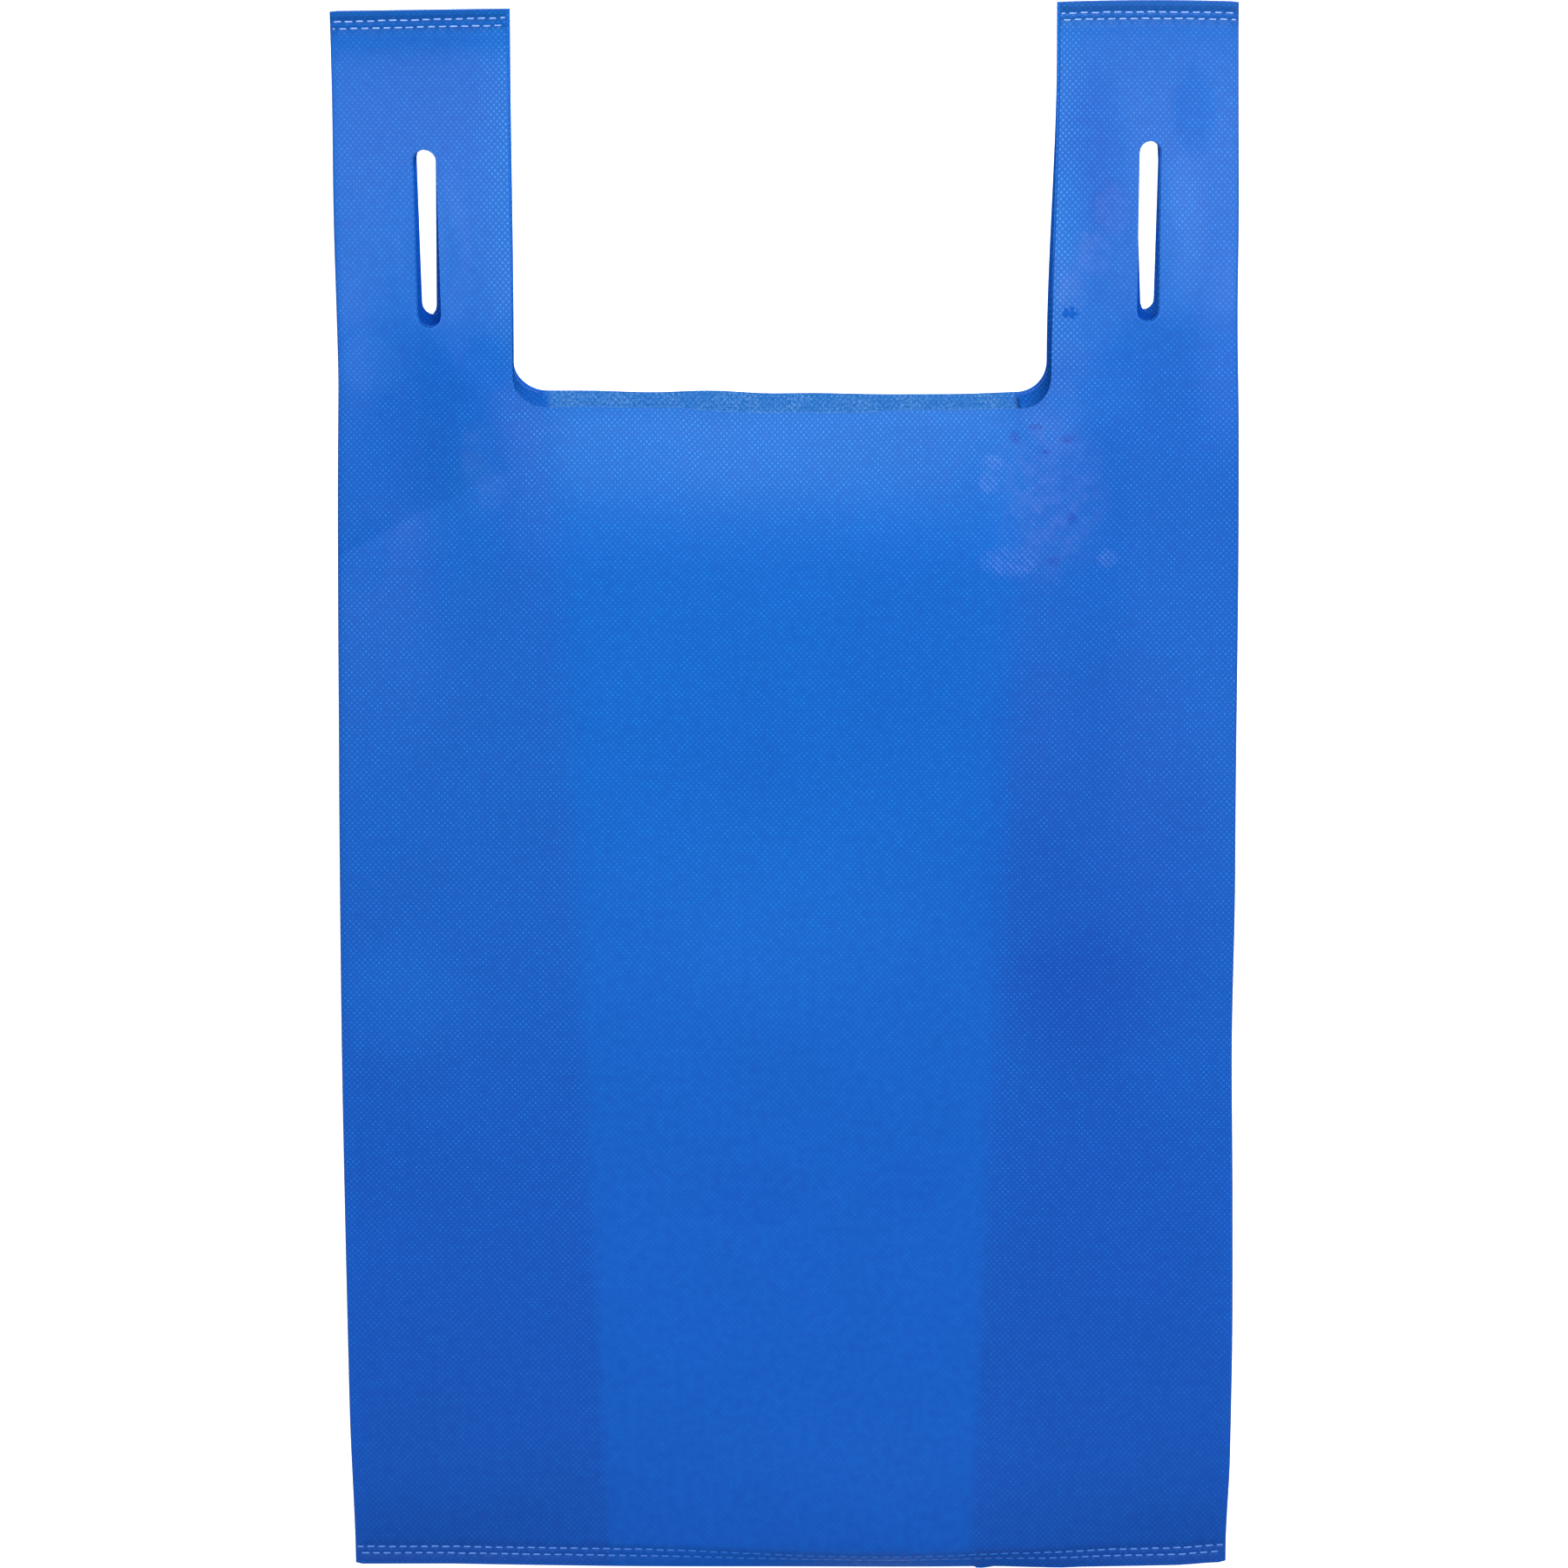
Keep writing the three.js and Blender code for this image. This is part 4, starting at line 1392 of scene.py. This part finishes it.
def front_tone(g, z, fibres, uneven, thick_and_light, crease):
    """How light the cloth is: about 1, with random tones, painted shade and painted highlights."""
    tone = g.plus(g.ramp(g.noise(*CLOUDS), *CLOUD_TONE), g.ramp(fibres, *FIBRE_TONE), uneven)
    in_corner = g.times(z.layers, g.ramp(g.v, *CORNER_SHADE))
    in_middle = g.times(g.minus(1.0, z.layers), g.ramp(g.v, *MIDDLE_SHADE))
    to_corner = g.ramp(g.off(g.s, LOW_SHADE_MIDDLE), *LOW_SHADE_ACROSS)
    strip_shades = g.plus(*(g.ramp(g.v, *strip) for strip in TOP_STRIP_SHADES))
    for shade in (in_corner, in_middle, g.ramp(g.v, *LOW_SHADE, to_corner, 0.0), strip_shades):
        tone = g.times(tone, g.minus(1.0, shade))
    # Lighter and darker patches, partly painted light and shade
    tone = g.times(tone, g.plus(1.0, g.times(thick_and_light, THICK_AND_LIGHT_TONE)))
    tone = g.times(tone, g.fade(z.shut_in, 1.0, g.ramp(g.v, *SHUT_IN_SHADE)))
    tone = g.times(tone, g.fade(z.top_hem, 1.0, TOP_HEM_TONE), g.ramp(g.v, *HANDLE_SHADE))
    tone = g.times(tone, g.fade(z.low_hem, 1.0, g.fade(z.hem_ends, *LOW_HEM_SHADE)))
    side_highlight = g.times(g.ramp(g.u, *SIDE_HIGHLIGHT_ACROSS), z.on_front, g.ramp(g.v, *SIDE_HIGHLIGHT_ALONG))
    tone = g.plus(tone, side_highlight, g.times(z.by_root, ROOT_HIGHLIGHT), g.times(z.inner_edge, INNER_EDGE_HIGHLIGHT))
    tone = g.minus(tone, weld_row_shadows(g))
    tone = g.plus(tone, crease, g.times(slot_rim_highlights(g), RIM_HIGHLIGHT))
    return g.times(tone, z.on_fold)


# Hue of the front: the blue is purer towards the bottom, greener along the lip and the handles' inner edges.
# This hue
# change is painted light: the green rises where the light is brightest
GREEN_ALONG = (60.0, 330.0, 0.80, 0.94)
GREEN_HANDLES = (425.0, 480.0, 0.0, 0.06)
GREEN_LIP = 0.09
GREEN_FOOT = (5.0, 60.0, 0.03, 0.0)
THICK_AND_LIGHT_GREEN = 0.6
# The painted shade in the gussets is also less red and more blue
SHUT_IN_RED = 0.4
SHUT_IN_BLUE = 1.25


def front_green(g, z, uneven, thick_and_light):
    """The share of the green that is left."""
    green = g.plus(g.ramp(g.v, *GREEN_ALONG), g.ramp(g.v, *GREEN_HANDLES))
    green = g.plus(green, g.times(g.most(z.lip, z.inner_edge), GREEN_LIP))
    green = g.minus(green, g.ramp(g.v, *GREEN_FOOT))
    return g.plus(green, uneven, g.times(thick_and_light, THICK_AND_LIGHT_GREEN))


# Sheen of the front
SHEEN_TWO_LAYERS = (180.0, 300.0, 0.8, 0.55)
TOP_HEM_SHEEN = (-60.0, 60.0, 0.55, 1.0)
HANDLE_SHEEN = (430.0, 470.0, 1.1, 0.9)
LOW_HEM_SHEEN = 0.8
HEM_ENDS_SHEEN = 1.2
FOLDED_IN_SHEEN = 0.25
BY_MOUTH_SHEEN = 1.35
ROOT_SHEEN = 1.7
SPOT_SHEEN = 0.2
GROUND_ROUGHNESS = 0.5
DOT_ROUGHNESS = 0.4
GROUND_GLOSS = 0.2
DOT_GLOSS = 0.2
FIBRE_RELIEF = 0.0001


def front_sheen(g, z, crease, mark):
    """The share of the sheen that shows."""
    sheen = g.fade(g.most(z.layers, z.lip), g.ramp(g.v, *SHEEN_TWO_LAYERS), 1.0)
    by_mouth = g.times(z.inner_edge, g.ramp(g.v, *BY_MOUTH))
    factors = [
        g.fade(z.top_hem, 1.0, g.ramp(g.s, *TOP_HEM_SHEEN)),
        g.ramp(g.v, *HANDLE_SHEEN),
        g.fade(z.hem_ends, g.fade(z.low_hem, 1.0, LOW_HEM_SHEEN), HEM_ENDS_SHEEN),
        g.fade(z.folded_in, 1.0, FOLDED_IN_SHEEN),
        g.fade(by_mouth, 1.0, BY_MOUTH_SHEEN),
        g.fade(z.by_root, 1.0, ROOT_SHEEN),
        z.on_fold,
        g.plus(1.0, g.times(crease, CREASE_SHEEN)),
        g.fade(mark, 1.0, SPOT_SHEEN),
    ]
    factors += [g.fade(g.patch(centre, radii), 1.0, share) for centre, radii, share in SHEEN_PATCHES]
    return g.times(sheen, *factors)


def fleece_outside():
    """The outer face of the front, the gussets and the back."""
    g = ClothGraph("fleece")
    z = front_zones(g)
    dots = bonded_dots(g)
    pattern = dot_pattern(g, z, dots)
    fibres = g.noise(*FIBRES)
    uneven = g.ramp(g.noise(*MOTTLE), *MOTTLE_TONE)
    thick_and_light = thickness(g)
    crease = crease_shade(g)
    mark = spot(g)
    tone = front_tone(g, z, fibres, uneven, thick_and_light, crease)
    red, green, blue = dot_tints(g, pattern)
    red = g.times(red, g.fade(z.shut_in, 1.0, SHUT_IN_RED), tone)
    green = g.times(green, tone, front_green(g, z, uneven, thick_and_light))
    blue = g.times(blue, g.fade(z.shut_in, 1.0, SHUT_IN_BLUE), tone)
    colour = g.toned(g.mix(z.layers, FLEECE_TWO_LAYERS, FLEECE_FOUR_LAYERS), red, green, blue)
    g.set("Base Color", wear_and_sheen(g, colour, dots, mark))
    g.set("Roughness", g.fade(dots, GROUND_ROUGHNESS, DOT_ROUGHNESS))
    gloss = g.plus(GROUND_GLOSS, g.times(pattern, DOT_GLOSS))
    g.set("Specular IOR Level", g.times(front_sheen(g, z, crease, mark), gloss))
    g.set("Normal", g.bump(fibres, FIBRE_RELIEF))
    return g.material


# The inner face
SINGLE_SOFTNESS = 4.0
PALE_FLECKS = (0.38, 0.7)
PALE_CLOUDS = (0.3, 0.7, 0.3, 1.0)
INSIDE_CLEAR_RANGE = (0.3, 0.7, 0.1, 1.3)
INSIDE_GRAIN_RANGE = (0.3, 0.7, -0.3, 0.3)
INSIDE_ROUGHNESS = 0.7
INSIDE_RELIEF = 0.00012
INSIDE_DOT_RELIEF = 0.00005
DULL_GLOSS = 0.15


def fleece_inside():
    """The inner face. Where the back panel lies on the floor as a single layer, its uneven fibres let the
    white through."""
    g = ClothGraph("fleece_inside")
    dots = bonded_dots(g)
    flecks = g.noise(*INSIDE_FLECKS)
    fold = BACK_FOLD + GUSSET_AT_MOUTH
    single = g.ramp(g.u, fold - SINGLE_SOFTNESS, fold + SINGLE_SOFTNESS)
    pale = g.times(g.ramp(flecks, *PALE_FLECKS), g.ramp(g.noise(*INSIDE_CLOUDS), *PALE_CLOUDS))
    colour = g.mix(single, FLEECE_FOUR_LAYERS, g.mix(pale, SINGLE_LAYER, SINGLE_PALE))
    clear = g.ramp(g.noise(*INSIDE_CLEARNESS), *INSIDE_CLEAR_RANGE)
    pattern = g.times(g.minus(dots, DOT_SHARE), clear)
    pattern = g.plus(pattern, g.ramp(g.noise(*INSIDE_GRAIN), *INSIDE_GRAIN_RANGE))
    g.set("Base Color", g.toned(colour, *dot_tints(g, pattern)))
    g.set("Roughness", INSIDE_ROUGHNESS)
    g.set("Normal", g.bump(dots, INSIDE_DOT_RELIEF, g.bump(flecks, INSIDE_RELIEF)))
    g.set("Specular IOR Level", DULL_GLOSS)
    return g.material


# The dashes and the cut edges
FILM_MIDDLE = 20.0
FILM_TO_ENDS = (40.0, 125.0, 0.0, 0.45)
FILM_ON_HANDLES = (100.0, MOUTH_AT)
FILM_GRAIN = (0.3, 0.6, 0.4, 1.0)
FILM_ROUGHNESS = (0.3, 0.7, 0.38, 0.5)
FILM_RELIEF = 0.00006
SLOPE_ROUGHNESS = 0.5
CUT_ROUGHNESS = 0.75


def weld_film():
    """The floors of the dashes: pale film on the handles, duller at the bottom. The paleness is partly the
    film's own and partly painted light, as if the floor's light showed through it.
    """
    g = ClothGraph("weld_film")
    grain = g.noise(*WELD_GRAIN)
    to_ends = g.ramp(g.off(g.s, FILM_MIDDLE), *FILM_TO_ENDS)
    pale = g.most(g.ramp(g.v, *FILM_ON_HANDLES), to_ends)
    pale = g.times(pale, g.ramp(grain, *FILM_GRAIN))
    g.set("Base Color", g.mix(pale, WELD_DULL, WELD_PALE))
    g.set("Roughness", g.ramp(grain, *FILM_ROUGHNESS))
    g.set("Normal", g.bump(grain, FILM_RELIEF))
    g.set("Specular IOR Level", DULL_GLOSS)
    return g.material


def weld_slope():
    """The cloth pressed down round each dash, darker than the fleece by painted shade."""
    g = Graph("weld_slope")
    g.set("Base Color", WELD_SLOPE_SHADE)
    g.set("Roughness", SLOPE_ROUGHNESS)
    g.set("Specular IOR Level", DULL_GLOSS)
    return g.material


def cut_edge():
    """The cut edges of the cloth."""
    g = ClothGraph("cut_edge")
    g.set("Base Color", g.mix(g.noise(*EDGE_FIBRES), EDGE_DARK, EDGE_LIGHT))
    g.set("Roughness", CUT_ROUGHNESS)
    return g.material


# The scene, in metres and degrees

CAMERA_DISTANCE = 4.0
CAMERA_TILT = 12.58
CAMERA_ROLL = -0.126
CAMERA_AIM = (-0.0014, 0.0037, 0.0)
CAMERA_LENS = 262.19
CAMERA_REACH = 100.0
SENSOR = 36.0
KEY_LIGHT = {"location": (0.22, 1.03, 1.65), "aim": (0, 0, 0), "size": 1.3, "power": 42.6}
FILL_LIGHT = {"location": (0.0, -1.5, 0.35), "aim": (0, -0.2, 0), "size": 0.8, "power": 4.0, "gloss": False}
WORLD_STRENGTH = 0.2
WHITE = (1, 1, 1, 1)
FLOOR_COLOUR = (0.8, 0.8, 0.8, 1)
FLOOR_HALF = 15.0
FLOOR_DROP = 0.0004


def make_camera():
    """The photo's camera, looking down on the bag."""
    tilt, roll = math.radians(CAMERA_TILT), math.radians(CAMERA_ROLL)
    back = Vector((0, math.sin(tilt), math.cos(tilt)))
    right = Vector((1, 0, 0))
    up = Vector((0, math.cos(tilt), -math.sin(tilt)))
    turned_right = right * math.cos(roll) + up * math.sin(roll)
    turned_up = up * math.cos(roll) - right * math.sin(roll)
    data = bpy.data.cameras.new("camera")
    data.lens = CAMERA_LENS
    data.sensor_width = SENSOR
    data.clip_end = CAMERA_REACH
    camera = bpy.data.objects.new("camera", data)
    turn = Matrix((turned_right, turned_up, back)).transposed().to_4x4()
    camera.matrix_world = Matrix.Translation(Vector(CAMERA_AIM) + back * CAMERA_DISTANCE) @ turn
    bpy.context.collection.objects.link(camera)
    bpy.context.scene.camera = camera


def make_light(name, location, aim, size, power, gloss=True):
    """A round soft light. Without gloss it lights the cloth but isn't mirrored in it."""
    data = bpy.data.lights.new(name, "AREA")
    data.shape = "DISK"
    data.size = size
    data.energy = power
    light = bpy.data.objects.new(name, data)
    light.visible_glossy = gloss
    light.location = location
    light.rotation_mode = "QUATERNION"
    light.rotation_quaternion = (Vector(aim) - Vector(location)).to_track_quat("-Z", "Y")
    bpy.context.collection.objects.link(light)


def make_floor():
    """A white floor just under the bag."""
    mesh = bpy.data.meshes.new("floor")
    corners = [(x * FLOOR_HALF, y * FLOOR_HALF, 0) for x, y in ((-1, -1), (1, -1), (1, 1), (-1, 1))]
    mesh.from_pydata(corners, [], [(0, 1, 2, 3)])
    floor = bpy.data.objects.new("floor", mesh)
    floor.location.z = -FLOOR_DROP
    bpy.context.collection.objects.link(floor)
    g = Graph("floor_white")
    g.set("Base Color", FLOOR_COLOUR)
    g.set("Roughness", 1.0)
    g.set("Emission Color", WHITE)
    g.set("Emission Strength", 1.0)
    mesh.materials.append(g.material)


def make_world():
    """Even light from all round."""
    world = bpy.data.worlds.new("studio")
    world.use_nodes = True
    world.node_tree.nodes["Background"].inputs[0].default_value = WHITE
    world.node_tree.nodes["Background"].inputs[1].default_value = WORLD_STRENGTH
    bpy.context.scene.world = world


def main():
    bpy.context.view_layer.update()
    bpy.context.scene.view_settings.view_transform = "Standard"
    make_camera()
    make_floor()
    make_world()
    make_light("key", **KEY_LIGHT)
    make_light("fill", **FILL_LIGHT)

    bag = bpy.data.objects.new("bag_cloth", bag_mesh())
    bpy.context.collection.objects.link(bag)
    for material in (fleece_outside(), fleece_inside(), weld_film(), cut_edge(), weld_slope()):
        bag.data.materials.append(material)
    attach(bag, "root")
    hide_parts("bag")

    bpy.context.view_layer.update()


main()
